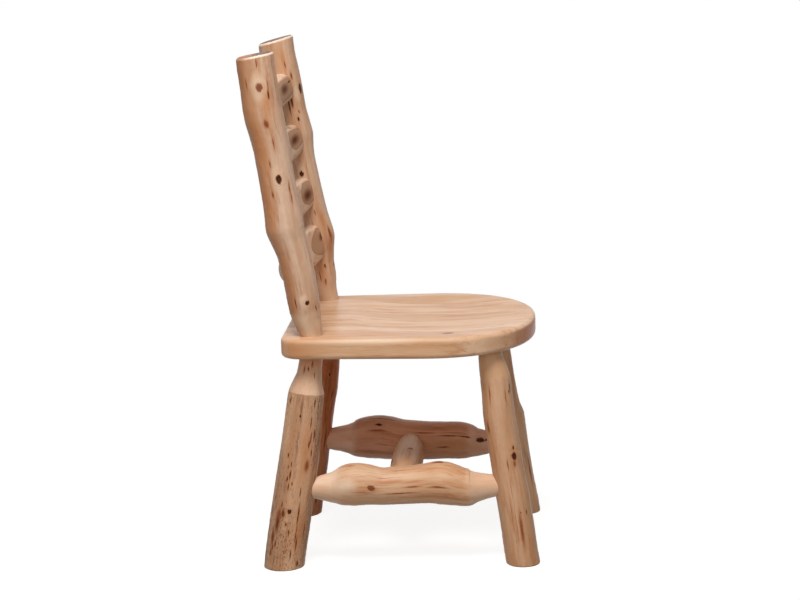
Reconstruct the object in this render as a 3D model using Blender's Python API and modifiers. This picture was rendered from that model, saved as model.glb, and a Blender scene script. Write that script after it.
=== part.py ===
"""Ladder-back log chair: peeled logs joined by round mortises and tenons to a dished, glued-up seat.

Lengths are metres, +Z is up, the chair faces -Y and +X is on the sitter's left.
"""

import math

import bmesh
import bpy
from mathutils import Matrix, Vector

MM = 0.001

# Seat
SEAT_HEIGHT = 457 * MM
SEAT_THICKNESS = 40 * MM
SEAT_WIDTH = 472 * MM
SEAT_REAR_WIDTH = 448 * MM
SEAT_DEPTH = 486 * MM
SEAT_FRONT_ROUND = 206 * MM
SEAT_FRONT_ROUND_SHARE = 0.91
SEAT_CORNER_RADIUS = 40 * MM
SEAT_EDGE_ROUND = 9 * MM
SEAT_RIM_WIDTH = 30 * MM
SEAT_FLAT_BEHIND_DISH = 122 * MM
SEAT_LIP_BEFORE_DISH = 22 * MM
DISH_DEPTH = 9 * MM
BOARD_COUNT = 5
GLUE_LINE = 0.3 * MM

# Legs
REAR_LEG_RADIUS = 39 * MM
FRONT_LEG_RADIUS = 31 * MM
LEG_TENON_RADIUS = 22 * MM
REAR_LEG_TENON_DEPTH = 17 * MM
FRONT_LEG_TENON_DEPTH = 24 * MM
REAR_LEG_FROM_BACK_EDGE = 57 * MM
FRONT_LEG_FROM_FRONT_EDGE = 87 * MM
REAR_LEG_OUT = 172 * MM
FRONT_LEG_OUT = 150 * MM
REAR_LEG_RAKE = math.radians(9.06)
FRONT_LEG_RAKE = math.radians(7.8)
REAR_LEG_SPLAY = math.radians(2.2)
FRONT_LEG_SPLAY = math.radians(4.7)

# Back
POST_RADIUS = 36 * MM
POST_HEIGHT = 539 * MM
POST_LEAN = math.radians(9.11)
POST_TOE_IN = math.radians(0.83)
POST_TENON_RADIUS = 21 * MM
POST_TENON_DEPTH = 17 * MM
POST_FROM_BACK_EDGE = 59 * MM
POST_OUT = 183 * MM
POST_TOP_TILT_RIGHT = math.radians(0)
POST_TOP_TILT_LEFT = math.radians(5)
RUNG_COUNT = 4
RUNG_FIRST_SHARE = 0.23006
RUNG_PITCH_SHARE = 0.19666
RUNG_RADIUS = 30 * MM
RUNG_FIRST_HEIGHT = POST_HEIGHT * RUNG_FIRST_SHARE
RUNG_PITCH = POST_HEIGHT * RUNG_PITCH_SHARE
RUNG_SET_BACK = 6 * MM
RUNG_TENON_RADIUS = 14 * MM
RUNG_TENON_PAST_AXIS = 12 * MM
RUNG_HOUSING_DEPTH = 17 * MM
CONTOUR_RADIUS = 560 * MM
CONTOUR_ASIDE = 20 * MM
CONTOUR_EDGE_SHARPNESS = 5.5
RUNG_SWELL_SHARE = 0.015

# Stretchers
SIDE_STRETCHER_RADIUS = 41 * MM
SIDE_STRETCHER_HEIGHT = 157 * MM
CROSS_STRETCHER_RADIUS = 31 * MM
CROSS_STRETCHER_RISE = 2 * MM
CROSS_STRETCHER_PLACE_SHARE = 0.495
STRETCHER_TENON_RADIUS = 19 * MM
CROSS_TENON_RADIUS = 17 * MM
REAR_TENON_SHORT_OF_AXIS = 10 * MM
FRONT_TENON_SHORT_OF_AXIS = 6 * MM
CROSS_TENON_SHORT_OF_AXIS = 8 * MM

# Making
CLEARANCE = 0.3 * MM
EASED_EDGE = 2 * MM
OVERRUN = 30 * MM
WELD = 0.02 * MM
LOG_RESOLUTION = 6
RUNG_POINTS = 24
RUNG_SECTIONS = 11
DISH_STEPS = 40
FRONT_ARC_STEPS = 28
CORNER_ARC_STEPS = 5
EASED_ANGLE = math.radians(62)

# A log's stations: share along its axis, radius share, then the drift of its heart
# as shares of its radius. Posts and legs drift forward and outward, stretchers upward and outward.
REAR_LEG_RIGHT_SHARES = (
    (0.06, 1.01, -0.04, 0.00), (0.23, 1.01, -0.01, 0.02), (0.38, 1.01, 0.01, 0.03), (0.52, 0.98, 0.03, 0.02),
    (0.61, 0.95, 0.02, 0.00), (0.70, 0.92, -0.01, 0.00), (0.78, 0.90, -0.03, 0.00), (0.825, 0.88, -0.03, 0.00),
    (0.85, 0.80, -0.03, 0.00), (0.872, 0.72, -0.02, 0.00), (0.90, 0.64, 0.00, 0.00), (0.93, 0.59, -0.01, 0.00),
)
REAR_LEG_LEFT_SHARES = (
    (0.06, 0.94, 0.00, 0.00), (0.24, 0.95, 0.00, -0.02), (0.40, 0.93, 0.00, -0.03), (0.53, 0.92, 0.00, -0.02),
    (0.60, 0.94, 0.00, 0.00), (0.67, 0.95, 0.02, 0.00), (0.76, 0.91, 0.01, 0.00), (0.82, 0.87, 0.00, 0.00),
    (0.85, 0.79, 0.00, 0.00), (0.875, 0.70, 0.00, 0.00), (0.90, 0.62, 0.00, 0.00), (0.93, 0.57, 0.00, 0.00),
)
FRONT_LEG_RIGHT_SHARES = (
    (0.06, 1.045, -0.04, 0.00), (0.18, 1.035, -0.01, 0.02), (0.31, 1.035, -0.01, 0.03), (0.45, 1.005, -0.05, 0.02),
    (0.60, 1.005, -0.06, 0.00), (0.70, 0.995, -0.07, 0.00), (0.75, 0.975, -0.03, 0.00), (0.80, 0.945, 0.02, 0.00),
    (0.865, 0.935, 0.05, 0.00), (0.90, 0.895, 0.02, 0.00), (0.93, 0.835, -0.01, 0.00), (0.96, 0.765, -0.04, 0.00),
)
FRONT_LEG_LEFT_SHARES = (
    (0.05, 0.99, 0.00, 0.00), (0.18, 0.93, -0.01, 0.02), (0.30, 0.91, 0.00, 0.03), (0.42, 0.93, 0.01, 0.02),
    (0.485, 0.95, 0.03, 0.00), (0.52, 0.92, 0.01, 0.00), (0.55, 0.85, -0.04, 0.00), (0.60, 0.81, -0.06, 0.00),
    (0.72, 0.80, -0.06, 0.00), (0.82, 0.80, -0.04, 0.00), (0.90, 0.76, -0.01, 0.00), (0.95, 0.72, 0.00, 0.00),
)
POST_RIGHT_SHARES = (
    (0.03, 0.675, -0.01, 0.00), (0.06, 0.765, -0.07, 0.00), (0.085, 0.815, -0.07, 0.00), (0.13, 0.845, -0.06, 0.02),
    (0.21, 0.865, -0.03, 0.03), (0.30, 0.88, -0.09, 0.02), (0.345, 0.945, -0.20, 0.00), (0.385, 1.025, -0.27, 0.00),
    (0.43, 0.995, -0.22, 0.00), (0.475, 0.945, -0.22, 0.00), (0.56, 0.935, -0.20, -0.03), (0.66, 0.955, -0.16, -0.04),
    (0.72, 0.985, -0.17, -0.03), (0.77, 1.035, -0.21, -0.02), (0.81, 1.025, -0.21, 0.00), (0.88, 1.00, -0.16, 0.00),
    (0.95, 0.995, -0.12, 0.00),
)
POST_LEFT_SHARES = (
    (0.035, 0.70, -0.11, 0.00), (0.06, 0.78, -0.15, 0.00), (0.09, 0.84, -0.14, 0.00), (0.15, 0.89, -0.15, 0.02),
    (0.20, 0.94, -0.05, 0.02), (0.245, 1.01, 0.06, 0.00), (0.27, 1.01, 0.03, 0.00), (0.315, 0.97, -0.03, 0.00),
    (0.38, 0.95, -0.07, -0.02), (0.46, 0.94, -0.10, -0.03), (0.55, 0.945, -0.12, -0.03), (0.59, 0.97, -0.09, -0.02),
    (0.635, 1.02, -0.04, 0.00), (0.68, 1.01, -0.08, 0.00), (0.73, 0.985, -0.12, 0.00), (0.83, 1.00, -0.10, 0.00),
    (0.95, 0.98, -0.11, 0.00),
)
SIDE_RIGHT_SHARES = (
    (0.09, 0.50, -0.06, 0.00), (0.104, 0.54, -0.06, 0.00), (0.178, 0.74, -0.06, 0.00), (0.214, 0.90, -0.03, 0.00),
    (0.25, 0.995, 0.04, 0.00), (0.29, 1.01, 0.07, 0.00), (0.33, 0.97, 0.06, 0.02), (0.37, 0.91, 0.00, 0.03),
    (0.405, 0.88, -0.05, 0.03), (0.44, 0.89, -0.03, 0.02), (0.53, 0.89, -0.01, 0.00), (0.62, 0.95, 0.06, -0.02),
    (0.66, 1.02, 0.08, -0.02), (0.70, 1.02, 0.03, -0.02), (0.735, 0.97, -0.06, 0.00), (0.77, 0.90, -0.15, 0.00),
    (0.805, 0.88, -0.20, 0.00), (0.84, 0.71, -0.17, 0.00), (0.88, 0.61, -0.14, 0.00), (0.925, 0.52, -0.12, 0.00),
)
SIDE_LEFT_SHARES = (
    (0.09, 0.52, 0.07, 0.00), (0.10, 0.57, 0.08, 0.00), (0.14, 0.64, 0.10, 0.00), (0.178, 0.74, 0.09, 0.00),
    (0.218, 0.92, 0.08, 0.00), (0.26, 1.04, 0.14, 0.02), (0.30, 1.08, 0.17, 0.03), (0.34, 1.10, 0.18, 0.03),
    (0.38, 1.09, 0.12, 0.02), (0.45, 1.01, 0.02, 0.00), (0.57, 0.97, -0.03, -0.02), (0.66, 0.94, -0.02, -0.02),
    (0.735, 0.94, -0.03, 0.00), (0.777, 0.88, -0.08, 0.00), (0.815, 0.73, -0.14, 0.00), (0.855, 0.63, -0.14, 0.00),
    (0.925, 0.51, -0.03, 0.00),
)
CROSS_SHARES = (
    (0.095, 0.56, 0.00, 0.00), (0.17, 0.84, 0.00, 0.00), (0.25, 0.95, 0.02, 0.02), (0.38, 1.00, 0.04, 0.04),
    (0.50, 1.02, 0.03, 0.05), (0.62, 0.97, 0.00, 0.03), (0.74, 0.90, 0.00, 0.00), (0.84, 0.80, 0.00, 0.00),
    (0.905, 0.56, 0.00, 0.00),
)
# The rungs, lowest first: share of the rung radius, lift as a share of the pitch, wood left
# in front of the axis as a share of the rung's own radius, and share of the contour radius.
RUNG_SHARES = ((1.22, 0.0, 0.16, 0.93), (1.07, -0.03, 0.33, 1.33), (1.07, 0.0, 0.37, 1.28), (0.98, 0.0, 0.64, 2.8))

# Places worked out from the sizes above, before the whole chair is centred
SEAT_TOP = SEAT_HEIGHT
SEAT_UNDERSIDE = SEAT_HEIGHT - SEAT_THICKNESS
BACK_EDGE = SEAT_DEPTH / 2
FRONT_EDGE = -SEAT_DEPTH / 2
FORWARD, UP, OUT = Vector((0, -1, 0)), Vector((0, 0, 1)), Vector((1, 0, 0))


def clear_scene():
    for obj in list(bpy.data.objects):
        bpy.data.objects.remove(obj)


def collection(name, helper=False):
    made = bpy.data.collections.new(name)
    bpy.context.scene.collection.children.link(made)
    made.hide_render = helper
    return made


def wood(name, colour, roughness):
    made = bpy.data.materials.new(name)
    made.use_nodes = True
    shader = made.node_tree.nodes["Principled BSDF"]
    shader.inputs["Base Color"].default_value = (*colour, 1)
    shader.inputs["Roughness"].default_value = roughness
    shader.inputs["Metallic"].default_value = 0
    return made


def keep(obj, helper=False):
    """Puts an object with the chair's pieces, or with the cutters that no render shows."""
    (CUTTERS if helper else CHAIR).objects.link(obj)
    if helper:
        obj.hide_render = True
        obj.display_type = "WIRE"
    return obj


def as_mesh(obj, name, helper):
    """Turns a curve object into a welded mesh object and removes the curve."""
    graph = bpy.context.evaluated_depsgraph_get()
    mesh = bpy.data.meshes.new_from_object(obj.evaluated_get(graph))
    matrix = obj.matrix_world.copy()
    bpy.data.objects.remove(obj)
    shape = bmesh.new()
    shape.from_mesh(mesh)
    bmesh.ops.remove_doubles(shape, verts=shape.verts, dist=WELD)
    bmesh.ops.recalc_face_normals(shape, faces=shape.faces)
    shape.to_mesh(mesh)
    shape.free()
    mesh.name = name
    made = bpy.data.objects.new(name, mesh)
    made.matrix_world = matrix
    return keep(made, helper)


def tube(name, points, radii, helper=False):
    """A round log through the points, with a radius of its own at each."""
    curve = bpy.data.curves.new(name, "CURVE")
    curve.dimensions = "3D"
    curve.bevel_depth = 1
    curve.bevel_resolution = LOG_RESOLUTION
    curve.use_fill_caps = True
    spline = curve.splines.new("POLY")
    spline.points.add(len(points) - 1)
    for point, place, radius in zip(spline.points, points, radii):
        point.co = (*place, 1)
        point.radius = radius
    guide = bpy.data.objects.new(name + "_curve", curve)
    CUTTERS.objects.link(guide)
    bpy.context.view_layer.update()
    return as_mesh(guide, name, helper)


def loft(name, rings, helper):
    """A closed skin over rings that have the same number of points, split alike in a log and in its mortise."""
    shape = bmesh.new()
    rows = [[shape.verts.new(place) for place in ring] for ring in rings]
    for lower, upper in zip(rows, rows[1:]):
        for a, b, c, d in zip(lower, lower[1:] + lower[:1], upper[1:] + upper[:1], upper):
            shape.faces.new((a, b, c))
            shape.faces.new((a, c, d))
    shape.faces.new(rows[0])
    shape.faces.new(rows[-1])
    bmesh.ops.recalc_face_normals(shape, faces=shape.faces)
    mesh = bpy.data.meshes.new(name)
    shape.to_mesh(mesh)
    shape.free()
    return keep(bpy.data.objects.new(name, mesh), helper)


def boolean(obj, cutter, operation="DIFFERENCE"):
    cut = obj.modifiers.new(operation.title() + " " + cutter.name, "BOOLEAN")
    cut.operation = operation
    cut.solver = "EXACT"
    cut.object = cutter


def ease_edges(obj, width, segments=1):
    bevel = obj.modifiers.new("Eased edges", "BEVEL")
    bevel.width = width
    bevel.segments = segments
    bevel.limit_method = "ANGLE"
    bevel.angle_limit = EASED_ANGLE


def finish(obj, material):
    obj.data.materials.clear()
    obj.data.materials.append(material)
    for face in obj.data.polygons:
        face.use_smooth = len(face.vertices) <= 4
    return obj


def stations_of(start, end, radius, shares, drift_a, drift_b):
    """The points and radii of a log's stations between two places."""
    run = end - start
    points = [start + run * along + (drift_a * a + drift_b * b) * radius for along, _, a, b in shares]
    return points, [radius * swell for _, swell, _, _ in shares]


def box(name, low, high):
    """A cutter box between two corners."""
    shape = bmesh.new()
    size = [b - a for a, b in zip(low, high)]
    middle = Vector([(a + b) / 2 for a, b in zip(low, high)])
    bmesh.ops.create_cube(shape, size=1, matrix=Matrix.Translation(middle) @ Matrix.Diagonal((*size, 1)))
    mesh = bpy.data.meshes.new(name)
    shape.to_mesh(mesh)
    shape.free()
    return keep(bpy.data.objects.new(name, mesh), helper=True)


class Leg:
    """A leg's axis, from the floor to the seat's underside, and its log."""

    def __init__(self, name, side, rear, shares, material):
        self.name, self.side, self.rear, self.shares = name, side, rear, shares
        self.radius = REAR_LEG_RADIUS if rear else FRONT_LEG_RADIUS
        self.depth = REAR_LEG_TENON_DEPTH if rear else FRONT_LEG_TENON_DEPTH
        rake = REAR_LEG_RAKE if rear else -FRONT_LEG_RAKE
        splay = REAR_LEG_SPLAY if rear else FRONT_LEG_SPLAY
        out = REAR_LEG_OUT if rear else FRONT_LEG_OUT
        back = BACK_EDGE - REAR_LEG_FROM_BACK_EDGE if rear else FRONT_EDGE + FRONT_LEG_FROM_FRONT_EDGE
        self.head = Vector((side * out, back, SEAT_UNDERSIDE))
        fall = Vector((side * math.tan(splay), math.tan(rake), -1))
        self.foot = self.head + fall * SEAT_UNDERSIDE
        self.material = material

    def at_height(self, height):
        return self.foot.lerp(self.head, height / SEAT_UNDERSIDE)

    def log(self, name, grow, helper):
        along = (self.head - self.foot).normalized()
        out = OUT * self.side
        points, radii = stations_of(self.foot, self.head, self.radius, self.shares, FORWARD, out)
        below = self.foot - along * OVERRUN
        points = [below, *points, self.head, self.head + along * (self.depth + grow)]
        radii = [self.radius * self.shares[0][1], *radii, LEG_TENON_RADIUS, LEG_TENON_RADIUS]
        return tube(name, points, [radius + grow for radius in radii], helper)

    def build(self):
        self.piece = self.log(self.name, 0, helper=False)
        boolean(self.piece, FLOOR_BLOCK)
        ease_edges(self.piece, EASED_EDGE)
        self.cutter = self.log(self.name + "_mortise", CLEARANCE, helper=True)
        finish(self.piece, self.material)


class Post:
    """A back post's axis, from the seat's top up, and its log."""

    def __init__(self, name, side, shares, top_tilt, material):
        self.name, self.side, self.shares, self.material = name, side, shares, material
        self.top_tilt = top_tilt
        self.foot = Vector((side * POST_OUT, BACK_EDGE - POST_FROM_BACK_EDGE, SEAT_TOP))
        self.rise = Vector((-side * math.tan(POST_TOE_IN), math.tan(POST_LEAN), 1))
        self.head = self.foot + self.rise * POST_HEIGHT

    def at_height(self, height):
        return self.foot + self.rise * (height - SEAT_TOP)

    def log(self, name, grow, helper):
        along = self.rise.normalized()
        points, radii = stations_of(self.foot, self.head, POST_RADIUS, self.shares, FORWARD, OUT * self.side)
        sunk = self.foot - along * (POST_TENON_DEPTH + grow)
        points = [sunk, self.foot, *points, self.head + along * OVERRUN]
        radii = [POST_TENON_RADIUS, POST_TENON_RADIUS, *radii, POST_RADIUS]
        return tube(name, points, [radius + grow for radius in radii], helper)

    def saw(self):
        """The block that saws the top off square to the post, or a little out of square."""
        wide = POST_RADIUS + OVERRUN
        block = box(self.name + "_saw", (-wide, -wide, 0), (wide, wide, wide))
        block.location = self.head
        block.rotation_euler.x = -(POST_LEAN + self.top_tilt)
        return block

    def build(self):
        self.piece = self.log(self.name, 0, helper=False)
        boolean(self.piece, self.saw())
        ease_edges(self.piece, EASED_EDGE)
        self.cutter = self.log(self.name + "_mortise", CLEARANCE, helper=True)
        finish(self.piece, self.material)


class Rung:
    """A back rung: a log with a hollowed front, housed a little way into each post and tenoned past its axis."""

    def __init__(self, number, posts, material):
        self.name = f"back_rung_{number + 1}"
        self.material, self.posts = material, posts
        radius_share, lift_share, front_share, sweep_share = RUNG_SHARES[number % len(RUNG_SHARES)]
        height = SEAT_TOP + RUNG_FIRST_HEIGHT + RUNG_PITCH * (number + lift_share)
        self.ends = [post.at_height(height) - FORWARD * RUNG_SET_BACK for post in posts]
        self.radius = RUNG_RADIUS * radius_share
        self.front = self.radius * front_share
        self.sweep = CONTOUR_RADIUS * sweep_share
        self.phase = math.tau * number / RUNG_COUNT

    def section(self, across, grow):
        """One ring of the log: round behind, and in front cut back to the contour with eased edges."""
        lean = Matrix.Rotation(-POST_LEAN, 3, "X")
        middle = (self.ends[0] + self.ends[1]) / 2 + OUT * across
        swell = 1 + RUNG_SWELL_SHARE * math.sin(self.phase + across / RUNG_PITCH)
        from_lowest = across - CONTOUR_ASIDE
        face = self.front + self.sweep - math.sqrt(self.sweep**2 - from_lowest**2) + grow
        ring = []
        for number in range(RUNG_POINTS):
            turn = math.tau * number / RUNG_POINTS
            reach = self.radius * swell + grow
            if math.cos(turn) > 0:
                hollow = (math.cos(turn) / face) ** CONTOUR_EDGE_SHARPNESS
                reach = (reach**-CONTOUR_EDGE_SHARPNESS + hollow) ** (-1 / CONTOUR_EDGE_SHARPNESS)
            ring.append(middle + lean @ (FORWARD * math.cos(turn) + UP * math.sin(turn)) * reach)
        return ring

    def tenon_ring(self, across, grow):
        lean = Matrix.Rotation(-POST_LEAN, 3, "X")
        middle = (self.ends[0] + self.ends[1]) / 2 + OUT * across
        turns = [math.tau * number / RUNG_POINTS for number in range(RUNG_POINTS)]
        reach = RUNG_TENON_RADIUS + grow
        return [middle + lean @ (FORWARD * math.cos(turn) + UP * math.sin(turn)) * reach for turn in turns]

    def log(self, name, grow, helper):
        half = (self.ends[1] - self.ends[0]).length / 2
        tip = half + RUNG_TENON_PAST_AXIS + grow
        shoulder = half - POST_RADIUS + RUNG_HOUSING_DEPTH
        places = [shoulder * (2 * number / (RUNG_SECTIONS - 1) - 1) for number in range(RUNG_SECTIONS)]
        places[0], places[-1] = -shoulder - grow, shoulder + grow
        rings = [self.section(across, grow) for across in places]
        near = [self.tenon_ring(-tip, grow), self.tenon_ring(places[0], grow)]
        far = [self.tenon_ring(places[-1], grow), self.tenon_ring(tip, grow)]
        return loft(name, near + rings + far, helper)

    def build(self):
        self.piece = self.log(self.name, 0, helper=False)
        self.cutter = self.log(self.name + "_mortise", CLEARANCE, helper=True)
        for post in self.posts:
            boolean(post.piece, self.cutter)
        finish(self.piece, self.material)


class Stretcher:
    """A log between two axes, with its tenons stopping short of them."""

    def __init__(self, name, places, short, tenon, radius, shares, material):
        self.name, self.places, self.short, self.tenon = name, places, short, tenon
        self.radius, self.shares, self.material = radius, shares, material

    def at_share(self, share):
        return self.places[0].lerp(self.places[1], share)

    def log(self, name, grow, helper):
        start, end = self.places
        run = (end - start).normalized()
        points, radii = stations_of(start, end, self.radius, self.shares, UP, run.cross(UP))
        tips = start + run * (self.short[0] - grow), end - run * (self.short[1] - grow)
        points, radii = [tips[0], *points, tips[1]], [self.tenon, *radii, self.tenon]
        return tube(name, points, [radius + grow for radius in radii], helper)

    def build(self, carriers):
        self.piece = self.log(self.name, 0, helper=False)
        ease_edges(self.piece, EASED_EDGE)
        self.cutter = self.log(self.name + "_mortise", CLEARANCE, helper=True)
        for carrier in carriers:
            boolean(carrier, self.cutter)
        finish(self.piece, self.material)


def seat_outline():
    """The seat's plan: a front a little fuller than an ellipse, sides that draw in to the back, round rear corners."""
    half, rear_half = SEAT_WIDTH / 2, SEAT_REAR_WIDTH / 2
    widest = FRONT_EDGE + SEAT_FRONT_ROUND
    plan = []
    for step in range(FRONT_ARC_STEPS + 1):
        turn = math.pi * step / FRONT_ARC_STEPS
        across, forward = math.cos(turn), math.sin(turn)
        across = math.copysign(abs(across) ** SEAT_FRONT_ROUND_SHARE, across)
        plan.append((half * across, widest - SEAT_FRONT_ROUND * abs(forward) ** SEAT_FRONT_ROUND_SHARE))
    for side in (-1, 1):
        centre_x, centre_y = side * (rear_half - SEAT_CORNER_RADIUS), BACK_EDGE - SEAT_CORNER_RADIUS
        first = math.pi if side < 0 else math.pi / 2
        for step in range(CORNER_ARC_STEPS + 1):
            turn = first - math.pi / 2 * step / CORNER_ARC_STEPS
            plan.append((centre_x + SEAT_CORNER_RADIUS * math.cos(turn), centre_y + SEAT_CORNER_RADIUS * math.sin(turn)))
    return plan


def seat_blank(name):
    """The seat's panel in one piece, edges rounded, as a helper that the boards are sawn from."""
    curve = bpy.data.curves.new(name, "CURVE")
    curve.dimensions = "2D"
    curve.fill_mode = "BOTH"
    curve.extrude = SEAT_THICKNESS / 2
    spline = curve.splines.new("POLY")
    plan = seat_outline()
    spline.points.add(len(plan) - 1)
    for point, (x, y) in zip(spline.points, plan):
        point.co = (x, y, 0, 1)
    spline.use_cyclic_u = True
    guide = bpy.data.objects.new(name + "_curve", curve)
    guide.location.z = (SEAT_TOP + SEAT_UNDERSIDE) / 2
    CUTTERS.objects.link(guide)
    bpy.context.view_layer.update()
    blank = as_mesh(guide, name, helper=True)
    ease_edges(blank, SEAT_EDGE_ROUND, segments=3)
    boolean(blank, dish())
    return blank


def dish():
    """The bowl that hollows the seat, a turned profile stretched to the seat's plan."""
    across = SEAT_WIDTH / 2 - SEAT_RIM_WIDTH
    length = SEAT_DEPTH - SEAT_FLAT_BEHIND_DISH - SEAT_LIP_BEFORE_DISH
    profile_shares = ((1, 1), (0, 1), (0.12, 0.955), (0.32, 0.88), (0.58, 0.76), (0.82, 0.56), (0.95, 0.30), (1, 0))
    shape = bmesh.new()
    verts = [shape.verts.new((across * profile_shares[0][1], 0, SEAT_TOP + OVERRUN))]
    for fall, reach in profile_shares[1:]:
        verts.append(shape.verts.new((across * reach, 0, SEAT_TOP - DISH_DEPTH * fall)))
    top = shape.verts.new((0, 0, SEAT_TOP + OVERRUN))
    for first, second in zip([top, *verts], verts):
        shape.edges.new((first, second))
    mesh = bpy.data.meshes.new("seat_dish")
    shape.to_mesh(mesh)
    shape.free()
    bowl = keep(bpy.data.objects.new("seat_dish", mesh), helper=True)
    screw = bowl.modifiers.new("Turned bowl", "SCREW")
    screw.steps = screw.render_steps = DISH_STEPS
    screw.use_merge_vertices = True
    screw.merge_threshold = WELD
    bowl.scale.y = length / (across * 2)
    bowl.location.y = BACK_EDGE - SEAT_FLAT_BEHIND_DISH - length / 2
    return bowl


def build_boards(blank, cutters, material):
    """Saws the panel into its boards and bores them for the legs and posts."""
    pitch = SEAT_WIDTH / BOARD_COUNT
    for number in range(BOARD_COUNT):
        name = f"seat_board_{number + 1}"
        low_x = -SEAT_WIDTH / 2 + pitch * number + (GLUE_LINE / 2 if number else -OVERRUN)
        high_x = -SEAT_WIDTH / 2 + pitch * (number + 1) + (-GLUE_LINE / 2 if number < BOARD_COUNT - 1 else OVERRUN)
        saw = box(
            name + "_saw",
            (low_x, FRONT_EDGE - OVERRUN, SEAT_UNDERSIDE - OVERRUN),
            (high_x, BACK_EDGE + OVERRUN, SEAT_TOP + OVERRUN),
        )
        board = keep(bpy.data.objects.new(name, bpy.data.meshes.new(name)))
        graph = bpy.context.evaluated_depsgraph_get()
        board.data = bpy.data.meshes.new_from_object(blank.evaluated_get(graph))
        board.matrix_world = blank.matrix_world.copy()
        boolean(board, saw, "INTERSECT")
        for cutter, reach in cutters:
            if reach[0] < high_x and reach[1] > low_x:
                boolean(board, cutter)
        finish(board, material)


def centre_chair():
    """Moves the chair and its cutters so that the box of all its pieces is centred over the origin."""
    graph = bpy.context.evaluated_depsgraph_get()
    corners = []
    for obj in CHAIR.objects:
        evaluated = obj.evaluated_get(graph)
        mesh = evaluated.to_mesh()
        corners += [evaluated.matrix_world @ vertex.co for vertex in mesh.vertices]
        evaluated.to_mesh_clear()
    low = Vector([min(corner[axis] for corner in corners) for axis in range(3)])
    high = Vector([max(corner[axis] for corner in corners) for axis in range(3)])
    shift = Vector((-(low.x + high.x) / 2, -(low.y + high.y) / 2, 0))
    for obj in [*CHAIR.objects, *CUTTERS.objects]:
        obj.location += shift
    size = high - low
    print(f"chair {size.x / MM:.1f} x {size.y / MM:.1f} x {size.z / MM:.1f} mm, shift {shift.y / MM:.2f} mm")


clear_scene()
CHAIR = collection("Ladder-back log chair")
CUTTERS = collection("Cutters", helper=True)
LOG_WOOD = wood("peeled_log", (0.72, 0.50, 0.31), 0.4)
DARK_LOG_WOOD = wood("weathered_log", (0.50, 0.31, 0.18), 0.5)
SEAT_WOOD = wood("seat_board", (0.78, 0.55, 0.36), 0.35)
reach = (SEAT_WIDTH + SEAT_DEPTH) * 2
FLOOR_BLOCK = box("floor_block", (-reach, -reach, -reach), (reach, reach, 0))

legs = [
    Leg("front_leg_right", -1, False, FRONT_LEG_RIGHT_SHARES, LOG_WOOD),
    Leg("front_leg_left", 1, False, FRONT_LEG_LEFT_SHARES, LOG_WOOD),
    Leg("rear_leg_right", -1, True, REAR_LEG_RIGHT_SHARES, DARK_LOG_WOOD),
    Leg("rear_leg_left", 1, True, REAR_LEG_LEFT_SHARES, DARK_LOG_WOOD),
]
posts = [
    Post("back_post_right", -1, POST_RIGHT_SHARES, POST_TOP_TILT_RIGHT, LOG_WOOD),
    Post("back_post_left", 1, POST_LEFT_SHARES, POST_TOP_TILT_LEFT, LOG_WOOD),
]
for piece in legs + posts:
    piece.build()
for number in range(RUNG_COUNT):
    Rung(number, posts, LOG_WOOD).build()

sides = []
for name, front, rear, shares in (
    ("side_stretcher_right", legs[0], legs[2], SIDE_RIGHT_SHARES),
    ("side_stretcher_left", legs[1], legs[3], SIDE_LEFT_SHARES),
):
    places = rear.at_height(SIDE_STRETCHER_HEIGHT), front.at_height(SIDE_STRETCHER_HEIGHT)
    short = REAR_TENON_SHORT_OF_AXIS, FRONT_TENON_SHORT_OF_AXIS
    side = Stretcher(name, places, short, STRETCHER_TENON_RADIUS, SIDE_STRETCHER_RADIUS, shares, LOG_WOOD)
    side.build([rear.piece, front.piece])
    sides.append(side)
crossing = [side.at_share(CROSS_STRETCHER_PLACE_SHARE) + UP * CROSS_STRETCHER_RISE for side in sides]
cross_short = CROSS_TENON_SHORT_OF_AXIS, CROSS_TENON_SHORT_OF_AXIS
cross = Stretcher(
    "cross_stretcher", crossing, cross_short, CROSS_TENON_RADIUS, CROSS_STRETCHER_RADIUS, CROSS_SHARES, LOG_WOOD
)
cross.build([side.piece for side in sides])

bores = []
for piece in legs + posts:
    middle = piece.head.x if isinstance(piece, Leg) else piece.foot.x
    width = LEG_TENON_RADIUS + OVERRUN
    bores.append((piece.cutter, (middle - width, middle + width)))
build_boards(seat_blank("seat_panel"), bores, SEAT_WOOD)
centre_chair()
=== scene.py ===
# %% [markdown]
# # A ladder-back log chair
#
# The real chair is made of peeled logs. Four leg logs and two taller post logs have round
# tenons turned on their ends, which sit in bores in a thick, dished seat. Four rungs and
# three stretchers are logs too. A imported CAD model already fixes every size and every
# joint, so this lesson keeps all the places and only dresses them: each plain log is
# exchanged for a finer one on the same line, and the wood gets rings, knots and a finish.

# %% Load the fixed frame
import math

import bmesh
import bpy
import numpy as np
from mathutils import Matrix, Vector


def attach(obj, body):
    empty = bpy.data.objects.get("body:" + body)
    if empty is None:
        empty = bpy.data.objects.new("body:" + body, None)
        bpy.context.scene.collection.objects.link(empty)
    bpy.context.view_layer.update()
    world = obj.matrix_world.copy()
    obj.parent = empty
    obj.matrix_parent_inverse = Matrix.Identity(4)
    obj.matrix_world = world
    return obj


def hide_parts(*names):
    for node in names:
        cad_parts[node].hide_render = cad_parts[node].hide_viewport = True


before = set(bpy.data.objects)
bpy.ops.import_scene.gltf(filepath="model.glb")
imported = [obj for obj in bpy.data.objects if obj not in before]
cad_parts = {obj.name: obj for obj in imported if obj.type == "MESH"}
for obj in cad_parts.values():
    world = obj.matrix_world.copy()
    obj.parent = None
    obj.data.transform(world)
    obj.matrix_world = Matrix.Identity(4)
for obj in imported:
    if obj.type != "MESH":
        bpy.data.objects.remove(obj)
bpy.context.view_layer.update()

MM = 0.001

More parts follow.
